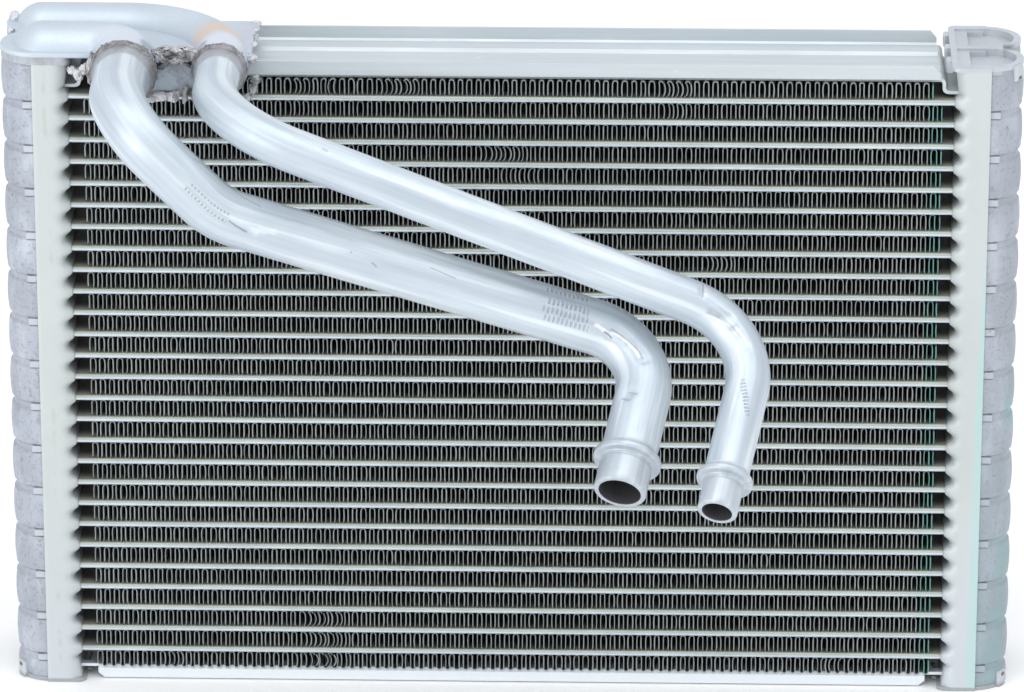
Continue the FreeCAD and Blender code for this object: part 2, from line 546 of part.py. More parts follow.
def pipe(path, bends, od, wall, end):
    ro, ri = od / 2.0, od / 2.0 - wall
    pts = [V(*p) for p in path]
    rs_, rbore, lsp, rbead, tbead = end
    outs, ins = [], []
    length = 0.0
    cur = pts[0]
    for k in range(1, len(pts) - 1):
        a = (pts[k] - pts[k - 1]).normalize()
        b = (pts[k + 1] - pts[k]).normalize()
        ang = a.getAngle(b)
        tlen = bends[k - 1] * math.tan(ang / 2.0)
        s = pts[k] - a * tlen
        e = pts[k] + b * tlen
        run = (s - cur).Length
        n = a.cross(b).normalize()
        inward = n.cross(a).normalize()
        centre = s + inward * bends[k - 1]
        for group, r in ((outs, ro), (ins, ri)):
            group.append(disc(cur, a, r).extrude(a * run))
            group.append(disc(s, a, r).revolve(centre, n, math.degrees(ang)))
        length += run + bends[k - 1] * ang
        cur = e
    d = (pts[-1] - cur)
    total = d.Length
    d.normalize()
    # the end is turned: plain tube, bead, spigot, with the bore stepped down in the spigot
    mouth = total
    sp0 = mouth - lsp
    bd0 = sp0 - tbead
    step = mouth - lsp - 1.5
    prof = [(0, 0), (ro, 0), (ro, bd0 - 0.5), (ro + 0.5, bd0), (rbead - 0.7, bd0), (rbead - 0.2, bd0 + 0.3), (rbead, bd0 + 0.9),
            (rbead, sp0 - 0.9), (rbead - 0.2, sp0 - 0.3), (rbead - 0.7, sp0), (rs_ + 0.5, sp0), (rs_, sp0 + 0.5), (rs_, mouth - 0.35), (rs_ - 0.35, mouth), (0, mouth)]
    hole = [(0, 0), (ri, 0), (ri, step - 1.0), (rbore, step), (rbore, mouth - 0.25), (rbore + 0.25, mouth), (rbore + 0.25, mouth + 1), (0, mouth + 1)]
    place = FreeCAD.Placement(cur, FreeCAD.Rotation(V(0, 0, 1), d))
    for group, pr in ((outs, prof), (ins, hole)):
        s = poly_face([(x, 0, z) for x, z in pr]).revolve(V(0, 0, 0), V(0, 0, 1), 360)
        s.Placement = place
        group.append(s)
    length += total
    ins.append(cyl(ri, 2.0, pts[0] - (pts[1] - pts[0]).normalize(), pts[1] - pts[0]))
    out = one(one(outs[0].fuse(outs[1:])).cut(one(ins[0].fuse(ins[1:]))))
    print("   pipe centre line %.1f mm, volume %.1f, plain tube of that length %.1f" % (length, out.Volume, length * math.pi * (ro * ro - ri * ri)))
    return out, cur, d, mouth


PARTS["suction_pipe"], bc, bd, bm = pipe(BIG_PATH, BIG_BENDS, BIG_OD, BIG_WALL, BIG_END)
PARTS["liquid_pipe"], sc, sd, sm = pipe(SMALL_PATH, SMALL_BENDS, SMALL_OD, SMALL_WALL, SMALL_END)


def weld(r_in, r_out, x, z, h):
    # rounded fillet of weld metal where the pipe enters its collar
    n = 6
    pts = [(r_in, 0.0), (r_out, 0.0)]
    for k in range(1, n):
        a = math.pi / 2 * k / n
        pts.append((r_in + (r_out - r_in) * math.cos(a), h * math.sin(a)))
    pts.append((r_in, h))
    f = poly_face([(p, 0, q) for p, q in pts])
    s = f.revolve(V(0, 0, 0), V(0, 0, 1), 360)
    s.Placement = FreeCAD.Placement(V(x, FACE_Y, z), FreeCAD.Rotation(V(0, 0, 1), V(0, -1, 0)))
    return s


PARTS["suction_weld"] = weld(rb, BIG_R - 0.5, bx, bz, 6.0)
PARTS["liquid_weld"] = weld(rs, SMALL_R - 0.3, sx_, sz_, 7.0)

# ---------------------------------------------------------------- move to the part's own origin
bb = None
for s in PARTS.values():
    b = s.BoundBox
    if bb is None:
        bb = FreeCAD.BoundBox(b)
    else:
        bb.add(b)
SHIFT = V(-(bb.XMin + bb.XMax) / 2.0, -(bb.YMin + bb.YMax) / 2.0, -bb.ZMin)
print("SHIFT", round(SHIFT.x, 4), round(SHIFT.y, 4), round(SHIFT.z, 4), "size", round(bb.XLength, 2), round(bb.YLength, 2), round(bb.ZLength, 2))
for nm, cur, d, m in (("suction", bc, bd, bm), ("liquid", sc, sd, sm)):
    tip = cur + d * m + SHIFT
    print(nm, "mouth", [round(q, 3) for q in tip], "axis", [round(q, 5) for q in d], "end piece length", round(m, 3))

total = 0.0
for name in sorted(PARTS):
    s = PARTS[name].copy()
    s.translate(SHIFT)
    total += s.Volume
    ok = s.isValid()
    if not ok or "fin_" not in name:
        print("%-20s solids %3d faces %5d vol %9.1f valid %s" % (name, len(s.Solids), len(s.Faces), s.Volume, ok))
    s.exportStep("parts/%s.step" % name)
print("nodes", len(PARTS), "total volume cm3", round(total / 1000.0, 1), "aluminium kg", round(total * 2.7e-6, 3))
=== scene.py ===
import math
import random

import bmesh
import bpy
import numpy as np
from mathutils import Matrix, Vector, noise


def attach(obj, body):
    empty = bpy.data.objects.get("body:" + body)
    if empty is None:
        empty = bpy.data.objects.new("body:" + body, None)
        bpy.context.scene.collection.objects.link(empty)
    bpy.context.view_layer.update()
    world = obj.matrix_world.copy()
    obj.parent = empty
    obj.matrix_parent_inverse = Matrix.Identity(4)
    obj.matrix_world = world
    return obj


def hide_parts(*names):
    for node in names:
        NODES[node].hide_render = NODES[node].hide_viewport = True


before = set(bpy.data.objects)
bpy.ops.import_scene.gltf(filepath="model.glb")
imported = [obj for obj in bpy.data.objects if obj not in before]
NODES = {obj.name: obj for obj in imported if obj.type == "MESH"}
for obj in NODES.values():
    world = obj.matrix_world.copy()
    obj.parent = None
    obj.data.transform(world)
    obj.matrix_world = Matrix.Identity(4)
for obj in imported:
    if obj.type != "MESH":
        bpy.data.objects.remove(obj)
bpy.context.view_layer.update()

SC = bpy.context.scene
YS = 32.6869            # the tube noses stand this far behind the middle of the part, mm
TUBES, PITCH, TOP_Z, TUBE_T = 27, 6.65, 183.0, 1.65
rng = random.Random(41)


# ------------------------------------------------------------------ mesh helpers
def mesh_object(name, verts, faces, mat=None, smooth=True, body="root", mats=None, midx=None, uv=None):
    """verts in millimetres in the core's own frame, tube noses at y 0"""
    v = np.asarray(verts, dtype=np.float64).copy()
    v[:, 1] += YS
    v *= 0.001
    me = bpy.data.meshes.new(name)
    f = [tuple(int(i) for i in q) for q in faces] if not isinstance(faces, np.ndarray) else faces
    if isinstance(f, np.ndarray):
        n, k = f.shape
        me.vertices.add(len(v))
        me.vertices.foreach_set("co", v.ravel())
        me.loops.add(n * k)
        me.loops.foreach_set("vertex_index", f.ravel().astype(np.int32))
        me.polygons.add(n)
        me.polygons.foreach_set("loop_start", np.arange(0, n * k, k, dtype=np.int32))
        me.update(calc_edges=True)
    else:
        me.from_pydata([tuple(p) for p in v], [], f)
        me.update()
    me.polygons.foreach_set("use_smooth", [smooth] * len(me.polygons))
    if mats:
        for m in mats:
            me.materials.append(m)
        if midx is not None:
            me.polygons.foreach_set("material_index", np.asarray(midx, dtype=np.int32))
    elif mat:
        me.materials.append(mat)
    if uv is not None:
        lay = me.uv_layers.new(name="UVMap")
        vi = np.empty(len(me.loops), dtype=np.int32)
        me.loops.foreach_get("vertex_index", vi)
        lay.data.foreach_set("uv", np.asarray(uv, dtype=np.float32)[vi].ravel())
    me.validate()
    o = bpy.data.objects.new(name, me)
    SC.collection.objects.link(o)
    if body:
        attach(o, body)
    return o


def soften(o, angle=35.0):
    """smooth shading except across sharp edges"""
    me = o.data
    me.polygons.foreach_set("use_smooth", [True] * len(me.polygons))
    me.set_sharp_from_angle(angle=math.radians(angle))


# ------------------------------------------------------------------ material helpers
class Mat:
    def __init__(self, name):
        self.m = bpy.data.materials.new(name)
        self.m.use_nodes = True
        self.nt = self.m.node_tree
        self.nt.nodes.clear()
        self.out = self.n("ShaderNodeOutputMaterial")
        self.b = self.n("ShaderNodeBsdfPrincipled")
        self.link(self.b.outputs[0], self.out.inputs[0])
        self.geo = None

    def n(self, kind, **kw):
        x = self.nt.nodes.new(kind)
        for k, v in kw.items():
            setattr(x, k, v)
        return x

    def link(self, a, b):
        self.nt.links.new(a, b)

    def pos(self):
        if self.geo is None:
            self.geo = self.n("ShaderNodeTexCoord")
        return self.geo.outputs["Object"]

    def mapped(self, scale, loc=(0, 0, 0), rot=(0, 0, 0), src=None):
        m = self.n("ShaderNodeMapping")
        m.inputs["Scale"].default_value = scale
        m.inputs["Location"].default_value = loc
        m.inputs["Rotation"].default_value = rot
        self.link(src or self.pos(), m.inputs["Vector"])
        return m.outputs[0]

    def noise(self, scale, detail=3.0, rough=0.5, vec=None, distortion=0.0):
        x = self.n("ShaderNodeTexNoise")
        x.inputs["Scale"].default_value = scale
        x.inputs["Detail"].default_value = detail
        x.inputs["Roughness"].default_value = rough
        x.inputs["Distortion"].default_value = distortion
        self.link(vec or self.pos(), x.inputs["Vector"])
        return x.outputs["Fac"]

    def ramp(self, fac, stops, interp="LINEAR"):
        r = self.n("ShaderNodeValToRGB")
        r.color_ramp.interpolation = interp
        el = r.color_ramp.elements
        while len(el) < len(stops):
            el.new(0.5)
        for e, (p, c) in zip(el, stops):
            e.position = p
            e.color = (c, c, c, 1) if isinstance(c, (int, float)) else (c[0], c[1], c[2], 1)
        self.link(fac, r.inputs[0])
        return r.outputs[0]

    def mix(self, fac, a, b, mode="MIX"):
        x = self.n("ShaderNodeMix", data_type="RGBA", blend_type=mode)
        for sock, val in ((x.inputs[0], fac), (x.inputs[6], a), (x.inputs[7], b)):
            if isinstance(val, (int, float)):
                sock.default_value = val
            elif isinstance(val, tuple):
                sock.default_value = (val[0], val[1], val[2], 1)
            else:
                self.link(val, sock)
        return x.outputs[2]

    def math(self, op, a, b=None, c=None, clamp=False):
        x = self.n("ShaderNodeMath", operation=op, use_clamp=clamp)
        for i, val in enumerate((a, b, c)):
            if val is None:
                continue
            if isinstance(val, (int, float)):
                x.inputs[i].default_value = val
            else:
                self.link(val, x.inputs[i])
        return x.outputs[0]

    def sep(self, vec=None):
        s = self.n("ShaderNodeSeparateXYZ")
        self.link(vec or self.pos(), s.inputs[0])
        return s.outputs

    def span(self, val, a, b, c=0.0, d=1.0, smooth=True):
        """value of val carried from a..b to c..d, clamped"""
        x = self.n("ShaderNodeMapRange", interpolation_type="SMOOTHSTEP" if smooth else "LINEAR", clamp=True)
        self.link(val, x.inputs["Value"])
        x.inputs["From Min"].default_value = a
        x.inputs["From Max"].default_value = b
        x.inputs["To Min"].default_value = c
        x.inputs["To Max"].default_value = d
        return x.outputs["Result"]

    def bump(self, height, strength=0.2, dist=0.0002, normal=None):
        b = self.n("ShaderNodeBump")
        b.inputs["Strength"].default_value = strength
        b.inputs["Distance"].default_value = dist
        self.link(height, b.inputs["Height"])
        if normal is not None:
            self.link(normal, b.inputs["Normal"])
        return b.outputs[0]

    def done(self, color=None, rough=None, metal=1.0, normal=None):
        for name, val in (("Base Color", color), ("Roughness", rough), ("Metallic", metal)):
            if val is None:
                continue
            s = self.b.inputs[name]
            if isinstance(val, (int, float)):
                s.default_value = val
            elif isinstance(val, tuple):
                s.default_value = (val[0], val[1], val[2], 1)
            else:
                self.link(val, s)
        if normal is not None:
            self.link(normal, self.b.inputs["Normal"])
        return self.m


def blob(M, centre, radii, soft=0.35, wobble=None):
    """1 inside an ellipsoid about centre (core frame, mm), falling to 0 outside"""
    c = (centre[0] * 0.001, (centre[1] + YS) * 0.001, centre[2] * 0.001)
    s = tuple(1000.0 / r for r in radii)
    v = M.mapped(s, loc=(-c[0] * s[0], -c[1] * s[1], -c[2] * s[2]))
    ln = M.n("ShaderNodeVectorMath", operation="LENGTH")
    M.link(v, ln.inputs[0])
    d = ln.outputs["Value"]
    if wobble is not None:
        d = M.math("ADD", d, wobble)
    return M.span(d, 1.0 - soft, 1.0 + soft, 1.0, 0.0)


# ------------------------------------------------------------------ materials
def tube_phase(M, z):
    """distance in metres of a height from the middle of the nearest tube, below it positive"""
    q = M.math("DIVIDE", M.math("SUBTRACT", TOP_Z * 0.001, z), PITCH * 0.001)
    return M.math("MULTIPLY", M.math("SUBTRACT", q, M.math("ROUND", q)), PITCH * 0.001)


def mat_header():
    M = Mat("header_strip_aluminium")
    xyz = M.sep()
    big = M.noise(24, 3, 0.55)
    mid = M.noise(190, 4, 0.6)
    grain = M.noise(900, 3, 0.6, vec=M.mapped((1.0, 1.0, 0.25)))
    col = M.ramp(big, [(0.25, (0.515, 0.545, 0.540)), (0.55, (0.565, 0.600, 0.595)), (0.8, (0.600, 0.620, 0.645))])
    # the headers are a little bluer towards their bottom end than in the middle
    low = M.span(xyz[2], 0.075, 0.0, 0.0, 1.0)
    col = M.mix(M.math("MULTIPLY", low, 0.5), col, (0.60, 0.635, 0.70))
    col = M.mix(M.ramp(grain, [(0.35, 0.0), (0.7, 0.10)]), col, (0.52, 0.56, 0.54))
    # smudges and faint dark specks
    smudge = M.math("MULTIPLY", M.ramp(mid, [(0.55, 0.0), (0.68, 1.0)]), M.ramp(M.noise(30, 2, 0.5), [(0.5, 0.0), (0.66, 1.0)]))
    col = M.mix(M.math("MULTIPLY", smudge, 0.28), col, (0.42, 0.42, 0.37))
    # green-blue run down the outer half of the right header's strip
    drip = M.noise(70, 4, 0.6, vec=M.mapped((1.0, 1.0, 0.12)))
    wide = M.noise(16, 2, 0.5, vec=M.mapped((0.0, 0.0, 1.0)))
    edge = M.math("ADD", M.span(xyz[2], 0.130, 0.01, 0.1363, 0.1349), M.math("MULTIPLY", M.math("SUBTRACT", wide, 0.5), 0.002))
    run = M.span(M.math("SUBTRACT", xyz[0], edge), -0.0005, 0.0004)
    run = M.math("MULTIPLY", run, M.span(xyz[2], 0.150, 0.105, 0.0, 1.0))
    run = M.math("MULTIPLY", run, M.ramp(drip, [(0.3, 0.45), (0.6, 1.0)]))
    run = M.math("MULTIPLY", run, M.span(xyz[1], (YS + 2.0) * 0.001, (YS + 6.0) * 0.001, 1.0, 0.0))
    col = M.mix(M.math("MULTIPLY", run, 0.72), col, (0.42, 0.66, 0.635))
    # faint stain lines inside the strip, left header
    stain = M.span(M.math("ABSOLUTE", M.math("SUBTRACT", M.math("ADD", xyz[0], M.math("MULTIPLY", M.math("SUBTRACT", drip, 0.5), 0.006)), -0.1340)), 0.0002, 0.0010, 1.0, 0.0)
    stain = M.math("MULTIPLY", stain, M.ramp(M.noise(110, 3, 0.6), [(0.52, 0.0), (0.62, 1.0)]))
    col = M.mix(M.math("MULTIPLY", stain, 0.30), col, (0.45, 0.42, 0.34))
    # painted shade: the hollows between the tubes are dull and painted dark, and so is the sheet behind the front edge
    ph = M.math("ABSOLUTE", tube_phase(M, xyz[2]))
    ax = M.math("ABSOLUTE", xyz[0])
    hollow_shade = M.math("MULTIPLY", M.span(ph, 0.0012, 0.0028), M.span(ax, 0.1306, 0.1294, 0.0, 1.0))
    inside = M.math("MULTIPLY", M.span(xyz[2], 0.1850, 0.1880, 1.0, 0.0), M.span(xyz[2], 0.0050, 0.0085))
    hollow_shade = M.math("MULTIPLY", hollow_shade, inside)
    col = M.mix(M.math("MULTIPLY", hollow_shade, 0.22), col, (0.30, 0.36, 0.38))
    deep_shade = M.math("MULTIPLY", M.span(ax, 0.1304, 0.1294, 0.0, 1.0), M.span(xyz[1], (YS + 0.8) * 0.001, (YS + 4.5) * 0.001))
    col = M.mix(M.math("MULTIPLY", deep_shade, 0.25), col, (0.16, 0.175, 0.18))
    # thin dark line where a tube leaves its lip
    line = M.math("MULTIPLY", M.span(ax, 0.12755, 0.12740, 0.0, 1.0), M.span(ph, 0.0013, 0.0009))
    col = M.mix(M.math("MULTIPLY", line, 0.45), col, (0.20, 0.21, 0.22))
    rough = M.ramp(big, [(0.2, 0.50), (0.8, 0.60)])
    nrm = M.bump(grain, 0.10, 0.00012)
    nrm = M.bump(mid, 0.16, 0.0003, nrm)
    nrm = M.bump(big, 0.25, 0.0006, nrm)
    return M.done(col, rough, 0.45, nrm)


def mat_tank():
    M = Mat("tank_cover_aluminium")
    big = M.noise(36, 4, 0.6)
    mid = M.noise(240, 4, 0.6)
    fine = M.noise(1500, 2, 0.6)
    streak = M.noise(120, 4, 0.65, vec=M.mapped((1.0, 1.0, 0.22)))
    col = M.ramp(big, [(0.2, (0.345, 0.380, 0.435)), (0.5, (0.415, 0.450, 0.515)), (0.8, (0.485, 0.515, 0.575))])
    col = M.mix(M.ramp(mid, [(0.35, 0.0), (0.75, 0.35)]), col, (0.56, 0.58, 0.63))
    col = M.mix(M.ramp(streak, [(0.30, 0.35), (0.50, 0.0)]), col, (0.36, 0.375, 0.41))
    # the narrow bands are painted darker, and catch light along their edges
    xyz = M.sep()
    z = xyz[2]
    z = M.math("SUBTRACT", z, M.span(xyz[0], 0.0, -0.01, 0.0, 0.0008))
    speck = M.noise(900, 4, 0.7)
    grime = M.noise(120, 5, 0.65, vec=M.mapped((1.0, 1.0, 0.45)))
    col = M.mix(M.ramp(grime, [(0.46, 0.0), (0.60, 0.40)]), col, (0.30, 0.315, 0.345))
    col = M.mix(M.ramp(speck, [(0.54, 0.0), (0.64, 0.50)]), col, (0.20, 0.205, 0.23))
    col = M.mix(M.ramp(grime, [(0.36, 0.35), (0.46, 0.0)]), col, (0.64, 0.67, 0.73))
    ph = M.math("DIVIDE", M.math("SUBTRACT", z, 0.1797), 0.0133)
    near = M.math("MULTIPLY", M.math("SUBTRACT", ph, M.math("ROUND", ph)), 0.0133)
    an = M.math("ABSOLUTE", near)
    band = M.span(an, 0.0009, 0.0016, 1.0, 0.0)
    col = M.mix(M.math("MULTIPLY", band, 0.30), col, (0.40, 0.415, 0.45))
    # pads at the inner end of each band: a painted highlight, with a painted shade line above and below
    ax = M.math("ABSOLUTE", xyz[0])
    wob = M.math("MULTIPLY", M.math("SUBTRACT", M.noise(500, 3, 0.6), 0.5), 0.0007)
    padx = M.span(M.math("ADD", ax, wob), 0.1402, 0.1408, 1.0, 0.0)
    pad = M.math("MULTIPLY", padx, M.span(M.math("ADD", an, wob), 0.00085, 0.00110, 1.0, 0.0))
    col = M.mix(M.math("MULTIPLY", pad, 0.55), col, (0.66, 0.675, 0.71))
    lip = M.math("MULTIPLY", padx, M.span(M.math("ABSOLUTE", M.math("SUBTRACT", M.math("ADD", an, wob), 0.00125)), 0.00010, 0.00030, 1.0, 0.0))
    lip = M.math("MULTIPLY", lip, M.ramp(M.noise(90, 2, 0.5), [(0.35, 0.25), (0.6, 1.0)]))
    col = M.mix(M.math("MULTIPLY", lip, 0.60), col, (0.20, 0.20, 0.215))
    # painted shadow: dark line where the header plate's edge lies on the cover, the shade of the strip standing proud
    seam = M.span(ax, 0.13765, 0.1381, 1.0, 0.0)
    seam = M.math("MULTIPLY", seam, M.ramp(M.noise(130, 3, 0.6), [(0.35, 0.1), (0.65, 1.0)]))
    col = M.mix(M.math("MULTIPLY", seam, 0.55), col, (0.24, 0.245, 0.255))
    # the valley between the lobes is shaded
    vy = M.math("ABSOLUTE", M.math("SUBTRACT", xyz[1], (YS + 18.0) * 0.001))
    valley = M.math("MULTIPLY", M.span(vy, 0.0008, 0.0035, 1.0, 0.0), M.span(ax, 0.1400, 0.1412))
    col = M.mix(M.math("MULTIPLY", valley, 0.55), col, (0.20, 0.20, 0.21))
    speck = M.ramp(M.noise(620, 2, 0.5), [(0.70, 0.0), (0.75, 1.0)])
    speck = M.math("MULTIPLY", speck, M.ramp(M.noise(60, 2, 0.5), [(0.45, 0.0), (0.62, 0.9)]))
    col = M.mix(speck, col, (0.20, 0.165, 0.145))
    w = M.math("MULTIPLY", M.math("SUBTRACT", M.noise(300, 3, 0.6), 0.5), 0.9)
    teal = None
    for c, r in (((144.6, 0.0, 22.5), (3.4, 8, 4.2)), ((143.4, 0.0, 12.2), (3.4, 8, 4.2)), ((143.8, 0.0, 3.5), (3.6, 8, 3.4)), ((145.0, 2.0, 39.0), (2.2, 8, 9)), ((146.0, 3.0, 88.0), (2.0, 8, 6))):
        b = blob(M, c, r, 0.5, w)
        teal = b if teal is None else M.math("MAXIMUM", teal, b)
    col = M.mix(M.math("MULTIPLY", teal, 0.62), col, (0.26, 0.475, 0.465))
    haze = M.math("MULTIPLY", M.span(z, 0.115, 0.02, 0.0, 0.45), M.span(xyz[0], 0.12, 0.13))
    col = M.mix(haze, col, (0.24, 0.345, 0.36))
    right = M.span(xyz[0], 0.12, 0.13, 0.0, 0.35)
    col = M.mix(M.math("MULTIPLY", right, M.ramp(streak, [(0.35, 0.5), (0.65, 1.0)])), col, (0.33, 0.365, 0.40))
    rough = M.ramp(mid, [(0.25, 0.50), (0.75, 0.66)])
    nrm = M.bump(fine, 0.12, 0.0001)
    nrm = M.bump(mid, 0.38, 0.0003, nrm)
    nrm = M.bump(streak, 0.25, 0.0004, nrm)
    return M.done(col, rough, 0.45, nrm)


def mat_cap():
    M = Mat("cap_aluminium")
    big = M.noise(90, 4, 0.55)
    gr = M.noise(700, 3, 0.6)
    xyz = M.sep()
    col = M.ramp(big, [(0.25, (0.50, 0.53, 0.57)), (0.75, (0.60, 0.63, 0.66))])
    col = M.mix(M.ramp(gr, [(0.35, 0.0), (0.7, 0.2)]), col, (0.44, 0.46, 0.49))
    # painted shade in the open valley between the lobes, and the dark dot on each tab
    vy = M.math("ABSOLUTE", M.math("SUBTRACT", xyz[1], (YS + 18.0) * 0.001))
    ax = M.math("ABSOLUTE", xyz[0])
    valley = M.math("MULTIPLY", M.span(vy, 0.0005, 0.0040, 1.0, 0.0), M.span(ax, 0.1413, 0.1419))
    col = M.mix(M.math("MULTIPLY", valley, 0.8), col, (0.16, 0.165, 0.17))
    dots = None
    for sx in (-1, 1):
        for z in (3.9, 190.2):
            b = blob(M, (sx * 146.0, 2.4, z), (0.55, 1.6, 0.6), 0.35)
            dots = b if dots is None else M.math("MAXIMUM", dots, b)
    col = M.mix(M.math("MULTIPLY", dots, 0.9), col, (0.10, 0.09, 0.09))
    # painted shade: lower caps are painted darker along the edge they stand on, where the floor's contact shade falls
    foot = M.span(xyz[2], 0.0022, 0.0006)
    col = M.mix(M.math("MULTIPLY", foot, 0.6), col, (0.27, 0.285, 0.29))
    nrm = M.bump(gr, 0.18, 0.00012)
    nrm = M.bump(big, 0.3, 0.0004, nrm)
    return M.done(col, M.ramp(gr, [(0.3, 0.46), (0.7, 0.6)]), 0.5, nrm)


def mat_side():
    M = Mat("side_plate_aluminium")
    xyz = M.sep()
    big = M.noise(22, 4, 0.55)
    gr = M.noise(900, 3, 0.6, vec=M.mapped((0.05, 1.0, 1.0)))
    band = M.noise(260, 3, 0.55, vec=M.mapped((0.02, 1.0, 1.0)))
    col = M.ramp(big, [(0.25, (0.575, 0.635, 0.665)), (0.75, (0.645, 0.690, 0.725))])
    col = M.mix(M.ramp(gr, [(0.35, 0.0), (0.7, 0.22)]), col, (0.48, 0.52, 0.54))
    col = M.mix(M.ramp(band, [(0.38, 0.35), (0.6, 0.0)]), col, (0.50, 0.53, 0.53))
    # painted light: the bottom plate's foot is painted paler, against the shade of the floor beside it
    foot = M.span(xyz[2], 0.012, 0.006)
    col = M.mix(M.math("MULTIPLY", foot, 0.8), col, (0.84, 0.88, 0.92))
    # painted shadow: dark line along the rear rib's foot, strongest near the right end
    rib_shadow_line = M.math("MULTIPLY", M.span(M.math("ABSOLUTE", M.math("SUBTRACT", xyz[1], (YS + 29.1) * 0.001)), 0.00016, 0.00034, 1.0, 0.0), M.span(xyz[0], 0.1212, 0.1206, 0.0, 1.0))
    rib_shadow_line = M.math("MULTIPLY", rib_shadow_line, M.span(xyz[0], 0.035, 0.105, 0.10, 1.0))
    rib_shadow_line = M.math("MULTIPLY", rib_shadow_line, M.span(xyz[2], 0.18, 0.185))
    col = M.mix(M.math("MULTIPLY", rib_shadow_line, 0.85), col, (0.13, 0.14, 0.16))
    # scratches and small bright nicks
    nick = M.math("MULTIPLY", M.ramp(M.noise(420, 2, 0.5, vec=M.mapped((0.5, 1.0, 1.0))), [(0.70, 0.0), (0.74, 1.0)]), M.ramp(M.noise(28, 2, 0.5), [(0.5, 0.0), (0.65, 1.0)]))
    col = M.mix(M.math("MULTIPLY", nick, 0.6), col, (0.86, 0.88, 0.90))
    nrm = M.bump(gr, 0.15, 0.00012)
    nrm = M.bump(big, 0.25, 0.0006, nrm)
    return M.done(col, M.ramp(gr, [(0.3, 0.46), (0.7, 0.60)]), 0.45, nrm)


def mat_tube():
    M = Mat("tube_nose_aluminium")
    g = M.noise(260, 3, 0.6, vec=M.mapped((0.35, 1, 1)))
    xyz = M.sep()
    y = xyz[1]
    ph = tube_phase(M, xyz[2])
    wob = M.math("MULTIPLY", M.math("SUBTRACT", M.noise(90, 3, 0.6, vec=M.mapped((1.0, 0.0, 1.0))), 0.5), 0.0005)
    # the upper half of the nose is painted khaki: partly the tube's own tint, partly a painted reflection of the fins
    # above it
    nose = M.ramp(g, [(0.25, (0.54, 0.63, 0.71)), (0.75, (0.66, 0.735, 0.795))])
    khaki = M.ramp(g, [(0.25, (0.38, 0.41, 0.37)), (0.75, (0.50, 0.54, 0.49))])
    low = M.span(M.math("ADD", ph, wob), -0.00022, 0.00008)
    col = M.mix(low, khaki, nose)
    # the underside of the nose is in shade
    col = M.mix(M.math("MULTIPLY", M.span(ph, 0.00062, 0.00080), 0.7), col, (0.10, 0.12, 0.17))
    rust = M.math("MULTIPLY", M.ramp(M.noise(240, 3, 0.6), [(0.60, 0.0), (0.72, 1.0)]), M.ramp(M.noise(34, 2, 0.5), [(0.52, 0.0), (0.68, 1.0)]))
    col = M.mix(M.math("MULTIPLY", rust, M.span(ph, 0.0001, -0.0002, 0.0, 0.45)), col, (0.42, 0.30, 0.22))
    # the broad faces behind the nose: tan, partly a painted reflection of the fins; deeper in the core they are
    # painted dark as shade
    a = M.span(y, (YS + 0.45) * 0.001, (YS + 0.9) * 0.001)
    b = M.span(y, (YS + 35.1) * 0.001, (YS + 35.55) * 0.001, 1.0, 0.0)
    top = M.ramp(g, [(0.25, (0.36, 0.36, 0.31)), (0.75, (0.48, 0.48, 0.42))])
    deep_shade = M.math("MULTIPLY", M.span(y, (YS + 1.5) * 0.001, (YS + 7.0) * 0.001), M.span(y, (YS + 29.0) * 0.001, (YS + 34.5) * 0.001, 1.0, 0.0))
    col = M.mix(M.math("MULTIPLY", a, b), col, top)
    col = M.mix(M.math("MULTIPLY", deep_shade, 0.85), col, (0.06, 0.055, 0.05))
    return M.done(col, M.ramp(g, [(0.3, 0.46), (0.7, 0.6)]), 0.4, M.bump(g, 0.15, 0.0002))


def mat_fin():
    M = Mat("fin_sheet_aluminium")
    xyz = M.sep()
    g = M.noise(330, 3, 0.6)
    big = M.noise(36, 3, 0.6)
    y = xyz[1]
    front = M.span(y, (YS + 0.7) * 0.001, (YS + 6.0) * 0.001, 0.0, 1.0, smooth=False)
    back = M.span(y, (YS + 30.0) * 0.001, (YS + 35.3) * 0.001, 1.0, 0.0, smooth=False)
    depth = M.math("MULTIPLY", front, back)
    # painted shade: the sheet is painted darker the deeper it lies in the core, lightest at the front edge
    col = M.ramp(depth, [(0.0, (0.320, 0.355, 0.350)), (0.10, (0.250, 0.275, 0.280)), (0.30, (0.200, 0.225, 0.237)), (1.0, (0.150, 0.170, 0.185))])
    # crowns under each tube get a painted highlight along their front edge; the roots are dull and a little brown
    ph = tube_phase(M, xyz[2])
    crown = M.math("MULTIPLY", M.span(ph, 0.00080, 0.00190, 1.0, 0.0), M.span(ph, 0.0005, 0.0008))
    col = M.mix(M.math("MULTIPLY", M.math("MULTIPLY", crown, M.span(depth, 0.0, 0.06, 1.0, 0.0)), 0.6), col, (0.50, 0.52, 0.50))
    root = M.span(ph, -0.0019, -0.0009, 0.0, 1.0)
    root = M.math("MULTIPLY", root, M.span(ph, -0.0003, -0.0006))
    col = M.mix(M.math("MULTIPLY", root, 0.35), col, (0.17, 0.15, 0.115))
    col = M.mix(M.ramp(g, [(0.3, 0.30), (0.7, 0.0)]), col, (0.06, 0.065, 0.065))
    col = M.mix(M.ramp(big, [(0.55, 0.0), (0.75, 0.25)]), col, (0.05, 0.055, 0.055))
    # green-blue film on the last legs beside the right header
    last = M.math("MULTIPLY", M.span(xyz[0], 0.1188, 0.1218), M.span(depth, 0.0, 0.6, 1.0, 0.0))
    col = M.mix(M.math("MULTIPLY", last, 0.88), col, (0.12, 0.31, 0.275))
    return M.done(col, 0.55, 0.35, None)


